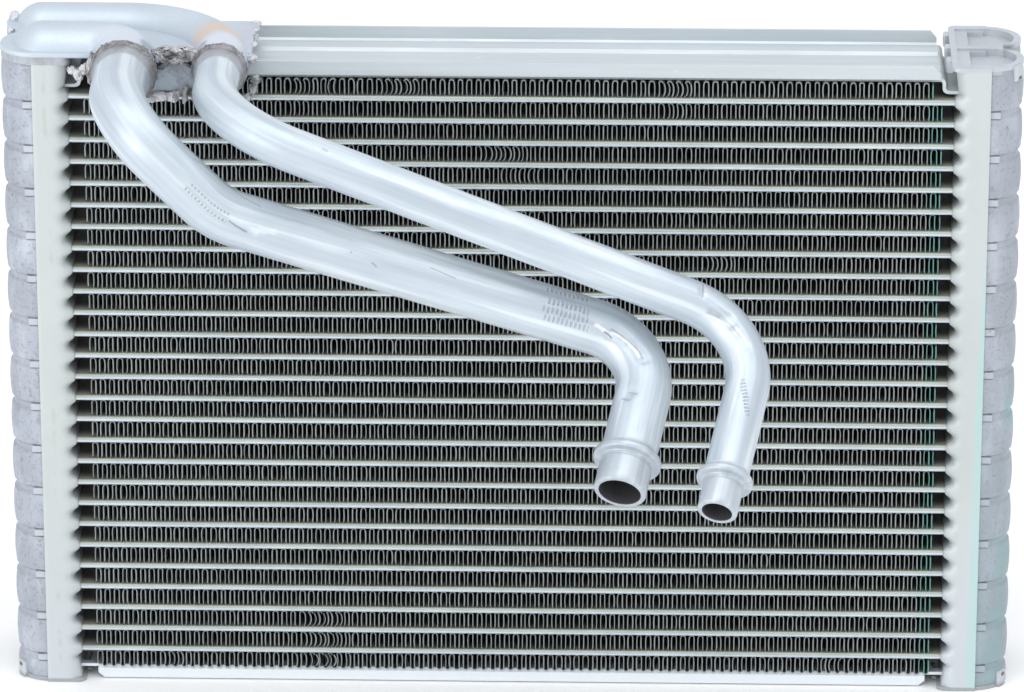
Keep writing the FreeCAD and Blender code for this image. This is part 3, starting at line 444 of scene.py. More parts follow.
def mat_pipe():
    M = Mat("pipe_brushed_aluminium")
    uv = M.n("ShaderNodeUVMap", uv_map="UVMap").outputs[0]
    u = M.sep(uv)
    streak = M.noise(1.0, 4, 0.6, vec=M.mapped((60, 1300, 1), src=uv))
    scratch = M.noise(1.0, 2, 0.5, vec=M.mapped((22, 2600, 1), src=uv))
    facet = M.noise(1.0, 3, 0.55, vec=M.mapped((11, 230, 1), src=uv))
    big = M.noise(38, 3, 0.5)
    mid = M.noise(300, 3, 0.55)
    col = M.ramp(big, [(0.2, (0.490, 0.558, 0.620)), (0.5, (0.552, 0.622, 0.680)), (0.8, (0.610, 0.678, 0.730))])
    # lengthwise facets: the bump is their relief; the darker and paler bands laid on them are painted shade and
    # painted highlights
    col = M.mix(M.ramp(facet, [(0.38, 0.50), (0.50, 0.0)]), col, (0.40, 0.47, 0.53))
    col = M.mix(M.ramp(facet, [(0.52, 0.0), (0.62, 0.65)]), col, (0.79, 0.85, 0.89))
    col = M.mix(M.ramp(scratch, [(0.62, 0.0), (0.72, 0.35)]), col, (0.50, 0.53, 0.58))
    col = M.mix(M.ramp(streak, [(0.3, 0.14), (0.6, 0.0)]), col, (0.58, 0.62, 0.69))
    marks = None
    ticks = None

    def seg(u0, v0, u1, v1, half, soft=0.5):
        """soft line from (u0, v0) to (u1, v1) along and round the pipe, millimetres"""
        L = math.hypot(u1 - u0, v1 - v0)
        ax_, ay_ = (u1 - u0) / L, (v1 - v0) / L
        uu = M.math("SUBTRACT", M.math("MULTIPLY", u[0], 1000.0), u0)
        vv = M.math("SUBTRACT", M.math("MULTIPLY", u[1], 1000.0), v0)
        along = M.math("ADD", M.math("MULTIPLY", uu, ax_), M.math("MULTIPLY", vv, ay_))
        off = M.math("ADD", M.math("MULTIPLY", uu, -ay_), M.math("MULTIPLY", vv, ax_))
        w = M.math("MULTIPLY", M.math("SUBTRACT", mid, 0.5), 2.0 * half)
        a = M.span(M.math("ABSOLUTE", M.math("ADD", off, w)), half * (1 - soft), half * (1 + soft), 1.0, 0.0)
        b = M.math("MULTIPLY", M.span(along, -half, half), M.span(along, L - half, L + half, 1.0, 0.0))
        return M.math("MULTIPLY", a, b), along

    return M, col, u, mid, streak, big, facet, seg


def pipe_material(which):
    M, col, u, mid, streak, big, facet, seg = mat_pipe()
    M.m.name = "pipe_aluminium_" + which
    bumps = None
    # marks at the dents and creases: the pale lines are painted highlights, the brown ones painted reflections, the
    # blue-grey ones painted shade; most dark ones are painted shadow in the creases, a few are real marks
    if which == "suction":
        dark = [(60.0, 4.1, 76.0, 4.3, 0.25, 0.22, (0.34, 0.32, 0.33)), (76.4, 4.6, 82.5, 6.2, 0.28, 0.60, (0.20, 0.195, 0.21)),
                (83.1, 5.1, 90.3, 3.7, 0.8, 0.35, (0.90, 0.94, 0.97)), (57.0, -4.3, 69.1, -7.2, 0.30, 0.55, (0.30, 0.31, 0.35)), (69.1, -7.2, 84.3, -2.4, 0.28, 0.5, (0.33, 0.34, 0.38)),
                (183.9, 2.8, 191.2, 4.3, 0.55, 0.75, (0.92, 0.94, 1.0)), (191.6, 4.5, 187.8, 3.9, 0.35, 0.7, (0.16, 0.15, 0.19)),
                (189.4, 2.4, 196.6, 1.7, 0.28, 0.55, (0.33, 0.25, 0.26)), (196.6, 1.7, 204.5, 0.4, 0.26, 0.50, (0.33, 0.25, 0.26)), (190.0, 3.2, 203.5, 1.3, 0.40, 0.60, (0.93, 0.95, 1.0)),
                (197.0, 0.0, 206.5, -1.8, 0.9, 0.35, (0.40, 0.44, 0.52)), (218.4, 6.2, 219.6, 3.2, 0.4, 0.5, (0.30, 0.30, 0.33)), (216.6, 4.4, 217.2, 1.5, 0.35, 0.5, (0.33, 0.33, 0.36)),
                (134.7, 0.7, 142.5, 1.7, 0.14, 0.6, (0.25, 0.25, 0.28)), (144.9, 4.9, 168.9, 4.1, 0.30, 0.30, (0.50, 0.53, 0.60)),
                (111.9, 3.0, 112.5, 3.2, 0.22, 0.6, (0.25, 0.25, 0.28)), (118.5, 4.3, 120.3, 5.0, 0.28, 0.6, (0.28, 0.26, 0.28))]
        rows = [(168.3, -3.7, 180.9, -4.7, 0.8), (169.5, -0.3, 181.5, -0.3, 0.9), (168.5, 2.6, 182.0, 2.3, 0.9), (169.5, 4.9, 182.7, 4.6, 0.8), (61.0, 2.9, 76.4, 2.9, 0.26), (60.4, 4.9, 76.0, 5.2, 0.32)]
        pitch = 1.28
    else:
        dark = [(181.3, -1.9, 182.5, 3.0, 0.22, 0.65, (0.25, 0.22, 0.27)), (185.5, 5.6, 192.1, 4.2, 0.9, 0.45, (0.33, 0.36, 0.42)),
                (186.1, 6.3, 191.5, 4.7, 0.25, 0.5, (0.42, 0.33, 0.31)), (191.5, 4.6, 198.7, 3.7, 0.25, 0.5, (0.42, 0.33, 0.31)), (196.0, 3.4, 202.9, 2.6, 0.35, 0.6, (0.95, 0.97, 1.0)),
                (67.5, 2.0, 69.3, 2.0, 0.3, 0.6, (0.36, 0.28, 0.25))]
        rows = [(214.9, 5.0, 225.9, 0.7, 0.7)]
        pitch = 1.15
    for u0, v0, u1, v1, half, k, c in dark:
        m, _ = seg(u0, v0, u1, v1, half)
        col = M.mix(M.math("MULTIPLY", m, k), col, c)
    for u0, v0, u1, v1, half in rows:
        m, along = seg(u0, v0, u1, v1, half, 0.4)
        wave = M.math("SINE", M.math("MULTIPLY", along, 2 * math.pi / pitch))
        t = M.math("MULTIPLY", m, M.span(wave, 0.0, 0.75))
        col = M.mix(M.math("MULTIPLY", t, 0.40), col, (0.30, 0.32, 0.37))
        h = M.math("MULTIPLY", t, -1.0)
        bumps = h if bumps is None else M.math("ADD", bumps, h)
    rough = M.ramp(mid, [(0.25, 0.36), (0.75, 0.50)])
    nrm = M.bump(streak, 0.12, 0.0002)
    nrm = M.bump(mid, 0.12, 0.0003, nrm)
    nrm = M.bump(big, 0.35, 0.0012, nrm)
    nrm = M.bump(facet, 0.30, 0.0005, nrm)
    nrm = M.bump(bumps, 0.9, 0.0003, nrm)
    # the turned end is greyer, and the bore is dull and painted dark as the shade inside the pipe
    turned = M.span(u[0], 0.9, 0.9001)
    col = M.mix(M.math("MULTIPLY", turned, 0.45), col, (0.40, 0.435, 0.475))
    bore = M.span(u[0], 2.5, 2.5001)
    col = M.mix(bore, col, (0.10, 0.10, 0.11))
    return M.done(col, rough, 0.48, nrm)


def mat_weld():
    M = Mat("weld_metal")
    big = M.noise(260, 5, 0.65)
    fine = M.noise(1100, 4, 0.7)
    col = M.ramp(big, [(0.28, (0.10, 0.092, 0.095)), (0.42, (0.26, 0.25, 0.255)), (0.55, (0.44, 0.445, 0.455)), (0.72, (0.66, 0.675, 0.69))])
    rough = M.ramp(fine, [(0.3, 0.38), (0.7, 0.62)])
    nrm = M.bump(fine, 0.5, 0.0004)
    nrm = M.bump(big, 0.6, 0.0010, nrm)
    return M.done(col, rough, 0.55, nrm)


def mat_weld_pale():
    M = Mat("weld_metal_pale")
    big = M.noise(190, 5, 0.65)
    fine = M.noise(1100, 4, 0.7)
    col = M.ramp(big, [(0.28, (0.32, 0.30, 0.31)), (0.42, (0.52, 0.515, 0.54)), (0.70, (0.70, 0.72, 0.76))])
    nrm = M.bump(fine, 0.3, 0.0003)
    nrm = M.bump(big, 0.5, 0.0008, nrm)
    return M.done(col, M.ramp(fine, [(0.3, 0.4), (0.7, 0.62)]), 0.5, nrm)


def mat_weld_cone():
    M = Mat("weld_metal_fillet")
    xyz = M.sep()
    big = M.noise(260, 5, 0.65)
    fine = M.noise(1100, 4, 0.7)
    foot = M.ramp(big, [(0.28, (0.07, 0.065, 0.068)), (0.42, (0.20, 0.195, 0.20)), (0.60, (0.33, 0.33, 0.345))])
    tip = M.ramp(big, [(0.3, (0.33, 0.345, 0.375)), (0.7, (0.46, 0.48, 0.52))])
    w = M.math("MULTIPLY", M.math("SUBTRACT", big, 0.5), 0.0016)
    y = M.math("ADD", xyz[1], w)
    col = M.mix(M.span(y, (YS - 9.6) * 0.001, (YS - 13.0) * 0.001), foot, tip)
    groove = M.span(M.math("ABSOLUTE", M.math("SUBTRACT", y, (YS - 9.9) * 0.001)), 0.0001, 0.0004, 1.0, 0.0)
    col = M.mix(M.math("MULTIPLY", groove, 0.45), col, (0.12, 0.115, 0.12))
    rough = M.ramp(fine, [(0.3, 0.36), (0.7, 0.56)])
    rim = M.span(xyz[1], (YS - 10.5) * 0.001, (YS - 8.8) * 0.001, 0.04, 1.0)
    nrm = M.bump(M.math("MULTIPLY", fine, rim), 0.5, 0.0004)
    nrm = M.bump(M.math("MULTIPLY", big, rim), 0.6, 0.0010, nrm)
    return M.done(col, rough, 0.55, nrm)


def mat_duct():
    M = Mat("duct_sheet_aluminium")
    xyz = M.sep()
    big = M.noise(50, 4, 0.55)
    gr = M.noise(1100, 3, 0.6)
    tear = M.noise(260, 5, 0.65)
    col = M.ramp(big, [(0.25, (0.50, 0.575, 0.640)), (0.75, (0.585, 0.650, 0.715))])
    col = M.mix(M.ramp(gr, [(0.35, 0.0), (0.7, 0.14)]), col, (0.48, 0.53, 0.57))
    w = M.math("MULTIPLY", M.math("SUBTRACT", tear, 0.5), 1.2)
    heat = M.math("SUBTRACT", blob(M, (-84.0, 4.0, 201.0), (8.0, 7.0, 6), 0.5, w), blob(M, (-82.5, -4.0, 201.5), (6.5, 7.5, 5.5), 0.4, w))
    col = M.mix(M.math("MULTIPLY", heat, 0.55), col, (0.76, 0.50, 0.30), "MIX")
    pale = blob(M, (-82.5, -4.0, 201.5), (6.0, 6.5, 5.0), 0.4, w)
    col = M.mix(M.math("MULTIPLY", pale, 0.6), col, (0.73, 0.76, 0.86))
    pale2 = blob(M, (-112, -2.0, 203.0), (9.0, 8.0, 5.0), 0.5, w)
    col = M.mix(M.math("MULTIPLY", pale2, 0.6), col, (0.72, 0.745, 0.82))
    # the web between the collars: duller, stained, with torn openings near its top and foot painted dark as the shade
    # inside them
    web = M.math("MULTIPLY", M.span(M.math("ABSOLUTE", M.math("SUBTRACT", xyz[0], -0.0963)), 0.0085, 0.0100, 1.0, 0.0), M.span(xyz[1], (YS - 1.5) * 0.001, (YS - 2.2) * 0.001))
    col = M.mix(M.math("MULTIPLY", web, 0.75), col, (0.33, 0.385, 0.435))
    stain = M.math("MULTIPLY", web, M.ramp(tear, [(0.50, 0.0), (0.60, 1.0)]))
    col = M.mix(M.math("MULTIPLY", stain, 0.45), col, (0.22, 0.205, 0.225))
    wt = M.math("MULTIPLY", M.math("SUBTRACT", tear, 0.5), 2.4)
    # painted shade: the torn openings are painted near black
    dark = None
    for c, r in (((-95.5, -4.0, 195.4), (6.2, 3.0, 1.3)), ((-100.4, -4.0, 193.6), (1.6, 3.0, 1.3)), ((-92.5, -4.0, 186.4), (1.6, 3.0, 1.5)), ((-98.5, -4.0, 185.2), (2.2, 3.0, 1.0)),
                 ((-89.6, -5.5, 193.6), (1.0, 4.0, 0.9))):
        b = blob(M, c, r, 0.25, wt)
        dark = b if dark is None else M.math("MAXIMUM", dark, b)
    col = M.mix(M.math("MULTIPLY", dark, 0.88), col, (0.075, 0.07, 0.075))
    # the sheet behind the small collar is pale and stained
    patch = blob(M, (-74.0, 18.0, 196.5), (6.0, 16.0, 2.0), 0.3, w)
    col = M.mix(M.math("MULTIPLY", patch, M.ramp(tear, [(0.4, 0.7), (0.6, 0.25)])), col, (0.56, 0.555, 0.64))
    seam = M.math("MULTIPLY", M.span(M.math("ABSOLUTE", M.math("SUBTRACT", xyz[2], 0.19545)), 0.0001, 0.0004, 1.0, 0.0), M.span(xyz[0], -0.118, -0.121))
    col = M.mix(M.math("MULTIPLY", seam, 0.35), col, (0.30, 0.30, 0.33))
    # below the seam at the left end the sheet is darker, in blotches
    under = M.math("MULTIPLY", M.span(xyz[2], 0.19555, 0.1952), M.span(xyz[0], -0.118, -0.121))
    under_blotches = M.noise(420, 4, 0.6, vec=M.mapped((1.0, 1.0, 0.4)))
    col = M.mix(M.math("MULTIPLY", under, M.ramp(under_blotches, [(0.35, 0.45), (0.6, 0.85)])), col, (0.36, 0.365, 0.39))
    r = M.ramp(gr, [(0.3, 0.44), (0.7, 0.56)])
    nrm = M.bump(gr, 0.10, 0.00012)
    nrm = M.bump(big, 0.3, 0.0007, nrm)
    nrm = M.bump(M.math("MULTIPLY", tear, M.math("ADD", web, 0.06)), 0.6, 0.0009, nrm)
    return M.done(col, r, 0.5, nrm)


HEADER, TANK, TUBE, FIN, WELD, WELD_PALE, WELD_CONE, DUCT = mat_header(), mat_tank(), mat_tube(), mat_fin(), mat_weld(), mat_weld_pale(), mat_weld_cone(), mat_duct()
PIPES = {"suction": pipe_material("suction"), "liquid": pipe_material("liquid")}
CAP, SIDE = mat_cap(), mat_side()

NODE_MAT = {
    "left_tank_cover": TANK, "right_tank_cover": TANK,
    "right_top_cap": CAP, "right_bottom_cap": CAP, "left_bottom_cap": CAP,
    "front_baffle": TANK, "rear_baffle": TANK,
    "front_tube_row": TUBE, "rear_tube_row": TUBE,
    "top_side_plate": SIDE, "bottom_side_plate": SIDE,
    "duct_shell": DUCT, "duct_base": DUCT,
}
for name, m in NODE_MAT.items():
    o = NODES[name]
    o.data.materials.clear()
    o.data.materials.append(m)

# ------------------------------------------------------------------ header plates
def resample(pts, n):
    p = np.asarray(pts, float)
    d = np.concatenate([[0], np.cumsum(np.linalg.norm(np.diff(p, axis=0), axis=1))])
    t = np.linspace(0, d[-1], n)
    return np.stack([np.interp(t, d, p[:, 0]), np.interp(t, d, p[:, 1])], 1)


def header_mesh(name, node, sx, z0, z1, seed):
    """folded plate whose wall is drawn out to a soft lip round every tube"""
    X1, YF, T = 137.6, -2.0, 1.2
    tubes = TOP_Z - PITCH * np.arange(TUBES)
    lev = [np.linspace(z0, z1, 30)]
    for tz in tubes:
        lev.append(tz + np.array([-3.32, -2.8, -2.3, -1.9, -1.5, -1.2, -0.9, 0, 0.9, 1.2, 1.5, 1.9, 2.3, 2.8, 3.32]))
    zs = np.unique(np.round(np.concatenate(lev), 2))
    zs = zs[(zs >= z0) & (zs <= z1)]
    zs[0], zs[-1] = z0, z1
    flat = [(X1, YF + T), (X1, YF + 0.18), (X1 - 0.05, YF + 0.05), (X1 - 0.18, YF)]
    run = [(X1 - 1.4, YF), (X1 - 2.6, YF), (X1 - 3.6, YF)]
    start = (X1 - 4.2, YF)
    a = np.linspace(-math.pi / 2, -math.pi, 10)
    valley = [start] + [(132.3 + 3.2 * math.cos(t), 1.2 + 3.2 * math.sin(t)) for t in a] + [(129.1, 2.2), (129.1, 4.0)]
    crest = [start, (131.2, -2.0), (130.0, -1.85), (129.1, -1.5), (128.35, -1.0), (127.7, -0.55), (127.42, -0.32), (127.3, -0.05), (127.3, 0.6), (127.3, 4.0)]
    NV = 14
    V_, C_ = resample(valley, NV), resample(crest, NV)
    def section(w, wob):
        mid = V_ + (C_ - V_) * w
        wx = 129.1 + (127.3 - 129.1) * w
        front = np.concatenate([np.array(flat + run), mid, np.array([(wx, 8.0)])])
        front[len(flat):, 1] += wob
        rear = front[::-1].copy()
        rear[:, 1] = 36.0 - rear[:, 1]
        return np.concatenate([front, np.array([(wx, 18.0)]), rear])

    ns = len(section(0.0, 0.0))
    outer = np.empty((len(zs), ns, 3))
    for i, z in enumerate(zs):
        dz = np.min(np.abs(tubes - z))
        u = min(max((dz - 0.9) / 2.15, 0.0), 1.0)
        w = (1 - u) ** 1.15
        w = w * (0.55 + 0.45 * w * (3 - 2 * w)) / 1.0 if w > 0 else 0.0
        if z > tubes[0] + 1.0 or z < tubes[-1] - 1.0:
            w = max(w, 0.9 * min(1.0, max(0.0, abs(z - tubes[0 if z > 100 else -1]) - 2.4) / 2.0))
        wob = 0.05 * abs(noise.noise(Vector((seed, z * 0.11, 3.1)))) + 0.03 * abs(noise.noise(Vector((seed + 5, z * 0.5, 1.7))))
        sec = section(w, wob)
        outer[i, :, 0], outer[i, :, 1], outer[i, :, 2] = sec[:, 0], sec[:, 1], z
    inner = outer.copy()
    inner[:, :, 0] = np.minimum(np.maximum(outer[:, :, 0], 129.1) + T, X1)
    inner[:, :, 1] = np.clip(outer[:, :, 1], YF + T, 36.0 - YF - T)
    inner[:, :, 0] = np.where(np.abs(inner[:, :, 1] - 18) >= 18.0 - YF - T - 1e-6, np.minimum(outer[:, :, 0] + 0.35, X1), inner[:, :, 0])
    n1 = outer.shape[0] * ns
    verts = np.concatenate([outer.reshape(-1, 3), inner.reshape(-1, 3)])
    verts[:, 0] *= sx
    i = np.arange(len(zs) - 1)[:, None]
    j = np.arange(ns - 1)[None, :]
    q = np.stack([i * ns + j, i * ns + j + 1, (i + 1) * ns + j + 1, (i + 1) * ns + j], 2).reshape(-1, 4)
    k = np.arange(ns - 1)
    top = (len(zs) - 1) * ns
    caps = np.concatenate([np.stack([k, k + 1, n1 + k + 1, n1 + k], 1), np.stack([top + k, top + k + 1, n1 + top + k + 1, n1 + top + k], 1)])
    F = np.concatenate([q, q[:, ::-1] + n1, caps])
    o = mesh_object(name, verts, F, HEADER, smooth=True)
    bm = bmesh.new()
    bm.from_mesh(o.data)
    bmesh.ops.recalc_face_normals(bm, faces=bm.faces)
    bm.to_mesh(o.data)
    bm.free()
    soften(o, 40)
    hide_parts(node)
    return o


header_mesh("left_header_skin", "left_header_plate", -1, 1.2, 193.0, 3.0)
header_mesh("right_header_skin", "right_header_plate", 1, 1.2, 193.0, 8.0)


# ------------------------------------------------------------------ weld metal
def ring_points(cx, cz, y, r, minor, amp, seed, squash=1.0, nu=160, nv=16, rag=0.35):
    """rough bead round a collar, as a displaced ring"""
    V = np.empty((nu, nv, 3))
    for a in range(nu):
        u = 2 * math.pi * a / nu
        cu, su = math.cos(u), math.sin(u)
        base = Vector((cu * 2.1 + seed, su * 2.1, seed * 0.7))
        rr = r + rag * noise.noise(base * 1.3)
        mm = minor * (1.0 + 0.55 * noise.noise(base * 2.2 + Vector((9, 0, 0))))
        for b in range(nv):
            v = 2 * math.pi * b / nv
            e = mm * math.cos(v)
            f = mm * squash * math.sin(v)
            p = Vector((cu * (rr + e), f, su * (rr + e)))
            n1 = noise.noise(p * 0.9 + Vector((seed, 0, 0)))
            n2 = noise.noise(p * 2.1 + Vector((0, seed, 0)))
            n3 = noise.noise(p * 4.6 + Vector((0, 0, seed)))
            k = amp * (0.55 * n1 + 0.65 * n2 + 0.4 * n3)
            e2, f2 = e + k * math.cos(v), f + k * math.sin(v)
            V[a, b] = (cx + cu * (rr + e2), y + f2, cz + su * (rr + e2))
    i = np.arange(nu)[:, None]
    j = np.arange(nv)[None, :]
    i2, j2 = (i + 1) % nu, (j + 1) % nv
    F = np.stack([i * nv + j, i * nv + j2, i2 * nv + j2, i2 * nv + j], 2).reshape(-1, 4)
    return V.reshape(-1, 3), F


def cone_points(cx, cz, prof, seed, nu=190, nb=34):
    """weld metal drawn up round a pipe: rough at the foot, smooth at the tip"""
    P = resample(prof, nb)
    V = np.empty((nu, nb, 3))
    for a in range(nu):
        u = 2 * math.pi * a / nu
        cu, su = math.cos(u), math.sin(u)
        swell = 0.22 * noise.noise(Vector((cu * 1.6 + seed, su * 1.6, 0.3)))
        for b in range(nb):
            r, y = P[b]
            k = min(max((-y - 7.6) / 4.6, 0.0), 1.0)
            amp = 0.62 * (1 - k) ** 1.4 + 0.07
            p = Vector((cu * r, y, su * r))
            e = 0.55 * noise.noise(p * 0.8 + Vector((seed, 0, 0))) + 0.6 * noise.noise(p * 1.9 + Vector((0, seed, 0))) + 0.4 * noise.noise(p * 4.3 + Vector((0, 0, seed)))
            e2 = noise.noise(p * 1.4 + Vector((4.0, seed, 2.0)))
            V[a, b] = (cx + cu * (r + amp * e + swell * (1 - k)), y + 0.5 * amp * e2, cz + su * (r + amp * e + swell * (1 - k)))
    i = np.arange(nu)[:, None]
    j = np.arange(nb)[None, :]
    i2, j2 = (i + 1) % nu, (j + 1) % nb
    F = np.stack([i * nb + j, i * nb + j2, i2 * nb + j2, i2 * nb + j], 2).reshape(-1, 4)
    return V.reshape(-1, 3), F


def lump_points(c, radii, amp, seed, nu=34, nv=19, spin=0.0, lean=0.0):
    V = np.empty((nv, nu, 3))
    cs, sn = math.cos(spin), math.sin(spin)
    for a in range(nv):
        t = math.pi * (a + 0.5) / nv
        for b in range(nu):
            u = 2 * math.pi * b / nu
            d = Vector((math.sin(t) * math.cos(u), math.sin(t) * math.sin(u), math.cos(t)))
            n1 = noise.noise(d * 1.5 + Vector((seed, 2.0, 0)))
            n2 = noise.noise(d * 3.4 + Vector((0, seed, 1.0)))
            n3 = noise.noise(d * 8.0 + Vector((0, 3.0, seed)))
            k = 1.0 + amp * (0.6 * n1 + 0.5 * n2 + 0.25 * n3)
            x, y, z = d[0] * radii[0] * k, d[1] * radii[1] * k, d[2] * radii[2] * k
            x, z = x * cs + z * sn, -x * sn + z * cs
            V[a, b] = (c[0] + x + lean * z, c[1] + y, c[2] + z)
    i = np.arange(nv - 1)[:, None]
    j = np.arange(nu)[None, :]
    j2 = (j + 1) % nu
    F = np.stack([i * nu + j, i * nu + j2, (i + 1) * nu + j2, (i + 1) * nu + j], 2).reshape(-1, 4)
    return V.reshape(-1, 3), F


def join(parts):
    V, F, base = [], [], 0
    for v, f in parts:
        V.append(v)
        F.append(f + base)
        base += len(v)
    return np.concatenate(V), np.concatenate(F)


def clamp_box(V):
    """weld metal never stands outside the part's own box"""
    V[:, 0] = np.clip(V[:, 0], -147.2, 147.2)
    V[:, 2] = np.clip(V[:, 2], 0.1, 202.7)
    return V


BX, BZ, SX, SZ = -110.6, 193.0, -83.0, 194.0
BIG_CONE = [(7.6, -7.4), (8.9, -7.4), (9.45, -8.1), (9.45, -8.9), (8.95, -9.6), (8.75, -9.95), (9.05, -10.4), (8.9, -11.2), (8.55, -12.4), (8.3, -13.4), (8.05, -14.1), (7.75, -14.2)]
SMALL_CONE = [(6.2, -7.4), (7.5, -7.4), (7.95, -8.1), (7.9, -8.9), (7.45, -9.6), (7.25, -9.95), (7.45, -10.5), (7.3, -11.6), (7.0, -13.0), (6.75, -14.2), (6.5, -15.0), (6.2, -15.2)]
parts = [cone_points(BX, BZ, BIG_CONE, 1.7), ring_points(BX, BZ, -8.0, 9.2, 0.5, 0.55, 4.1, 1.2, rag=0.4)]
o = mesh_object("suction_weld_bead", clamp_box(join(parts)[0]), join(parts)[1], WELD_CONE)
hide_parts("suction_weld")
parts = [cone_points(SX, SZ, SMALL_CONE, 2.9), ring_points(SX, SZ, -7.9, 7.7, 0.45, 0.5, 5.3, 1.2, rag=0.35)]
o = mesh_object("liquid_weld_bead", clamp_box(join(parts)[0]), join(parts)[1], WELD_CONE)
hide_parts("liquid_weld")

# torn and spilt metal on the web, beside the small collar and at the far end of the ducts
dark_lumps = [((-101.5, -4.6, 197.8), (1.4, 1.1, 0.8), 0.7, 1.1, 0.3), ((-99.4, -4.6, 195.9), (1.9, 0.9, 0.8), 1.0, 51.1, 0.4), ((-96.4, -4.6, 195.2), (1.8, 0.9, 0.7), 1.0, 52.2, -0.3),
              ((-93.6, -4.6, 195.7), (1.7, 0.9, 0.8), 1.0, 53.3, 0.3), ((-91.6, -4.6, 196.8), (1.2, 0.9, 1.3), 0.9, 54.4, -0.5), ((-100.3, -3.4, 197.3), (1.0, 1.4, 1.4), 0.9, 55.5, 0.2),
              ((-89.9, -5.8, 193.4), (1.0, 1.0, 1.5), 0.7, 56.6, 0.1), ((-94.2, -2.0, 196.4), (1.5, 1.6, 0.6), 0.9, 57.7, 0.5), ((-98.6, -1.0, 196.2), (1.2, 1.6, 0.6), 0.9, 58.8, -0.5),
              ((-98.6, -4.4, 194.6), (2.2, 0.8, 0.5), 0.9, 5.5, -0.5), ((-92.6, -4.4, 194.4), (1.9, 0.8, 0.4), 0.9, 6.6, 0.6),
              ((-90.6, -4.9, 196.9), (1.1, 1.2, 1.5), 0.7, 4.4, 0.1), ((-72.9, -4.6, 190.2), (1.3, 1.8, 1.2), 0.6, 7.7, 0.1), ((-73.6, -5.2, 187.6), (1.1, 1.5, 1.9), 0.6, 8.8, 0.15),
              ((-75.2, -5.4, 185.0), (1.1, 1.2, 1.3), 0.6, 9.9, 0.5), ((-120.2, -6.0, 195.0), (0.9, 1.3, 3.2), 0.7, 10.1, 0.2), ((-120.4, -4.5, 190.5), (0.9, 1.6, 2.6), 0.7, 11.2, -0.15),
              ((-93.2, -4.3, 185.2), (0.8, 0.9, 2.4), 0.6, 12.3, 0.1), ((-90.3, -4.6, 185.0), (1.2, 1.0, 1.9), 0.7, 13.4, -0.2), ((-96.0, -4.3, 184.9), (1.0, 0.8, 1.6), 0.7, 14.5, 0.15)]
pale_lumps = [((-74.4, -1.6, 195.6), (1.7, 2.0, 1.2), 0.5, 21.1, 0.1), ((-100.2, -4.0, 184.6), (3.0, 1.0, 1.4), 0.6, 23.3, 0.05),
              ((-96.9, -4.0, 184.4), (1.6, 0.9, 1.6), 0.6, 24.4, 0.3), ((-103.6, -4.2, 184.0), (1.9, 1.1, 1.2), 0.6, 25.5, -0.1), ((-100.9, -4.6, 196.6), (0.9, 1.0, 1.3), 0.6, 26.6, 0.0),
              ((-98.8, 3.6, 196.9), (1.8, 0.9, 0.5), 0.6, 27.7, 0.1), ((-95.4, 3.4, 197.0), (2.2, 0.9, 0.55), 0.6, 28.8, -0.1), ((-92.0, 3.4, 196.9), (1.4, 0.9, 0.5), 0.6, 28.1, 0.1),
              ((-95.9, 2.6, 195.7), (2.4, 0.7, 1.3), 0.7, 61.1, 0.25), ((-99.3, 2.9, 196.2), (1.5, 0.7, 0.8), 0.8, 62.2, -0.3), ((-92.8, 2.6, 196.1), (1.4, 0.7, 0.9), 0.8, 63.3, 0.3),
              ((-90.4, -4.4, 198.2), (1.3, 1.1, 0.8), 0.7, 64.4, 0.2),
              ((-124.0, -2.2, 190.6), (1.6, 1.9, 1.6), 0.7, 29.9, 0.0), ((-122.0, -4.4, 192.8), (1.3, 1.7, 1.5), 0.7, 31.1, 0.0), ((-126.0, -1.2, 191.4), (1.2, 1.4, 1.2), 0.7, 32.2, 0.0),
              ((-145.4, 20.0, 196.4), (0.9, 1.4, 0.9), 0.3, 35.5, -0.2), ((-145.2, 30.0, 196.8), (1.6, 3.0, 2.2), 0.25, 36.6, 0.1),
              ((-74.2, 8.5, 196.5), (0.9, 2.2, 0.55), 0.5, 38.8, 0.0), ((-74.0, 15.0, 196.5), (0.8, 2.6, 0.6), 0.6, 39.9, 0.1), ((-74.3, 22.5, 196.6), (1.0, 2.4, 0.6), 0.5, 41.1, -0.1),
              ((-74.6, 27.6, 196.6), (1.3, 1.4, 0.7), 0.5, 42.2, 0.1)]


for nm, rows, m in (("weld_spill_dark", dark_lumps, WELD), ("weld_spill_pale", pale_lumps, WELD_PALE)):
    V, F = join([lump_points(c, r, a, sd, spin=sp) for c, r, a, sd, sp in rows])
    o = mesh_object(nm, clamp_box(V), F, m)

# ------------------------------------------------------------------ corrugated fins
LEG, FIN_Y0, FIN_Y1, FIN_X = 1.311, 0.55, 35.45, 0.5
ARC = 5
# crushed places: fin number, middle x, half width in x, sideways push, how ragged
BENT = {1: [(-60.5, 4.5, 0.75, 0.5), (-52, 3.5, -0.5, 0.4), (-32, 7.0, 0.9, 0.5), (47.0, 6.0, 0.8, 0.5)],
        2: [(48.0, 5.0, 0.5, 0.3), (-62, 4, 0.4, 0.3)],
        4: [(-2.5, 7.5, 0.9, 0.3), (-62, 3, 0.4, 0.2)],
        5: [(-36.0, 7.0, 0.7, 0.2), (3.0, 8.0, -0.5, 0.3)],
        6: [(-78.0, 6.0, 0.4, 0.2)],
        9: [(20.0, 5.0, -0.5, 0.2), (60.0, 6.0, 0.6, 0.2)],
        26: [(-56.0, 7.5, 0.9, 0.6)], 27: [(-55.5, 8.0, 0.9, 0.7)], 28: [(-56.0, 8.5, 0.95, 0.8), (-100, 5, 0.5, 0.3), (96, 5, -0.5, 0.3)]}


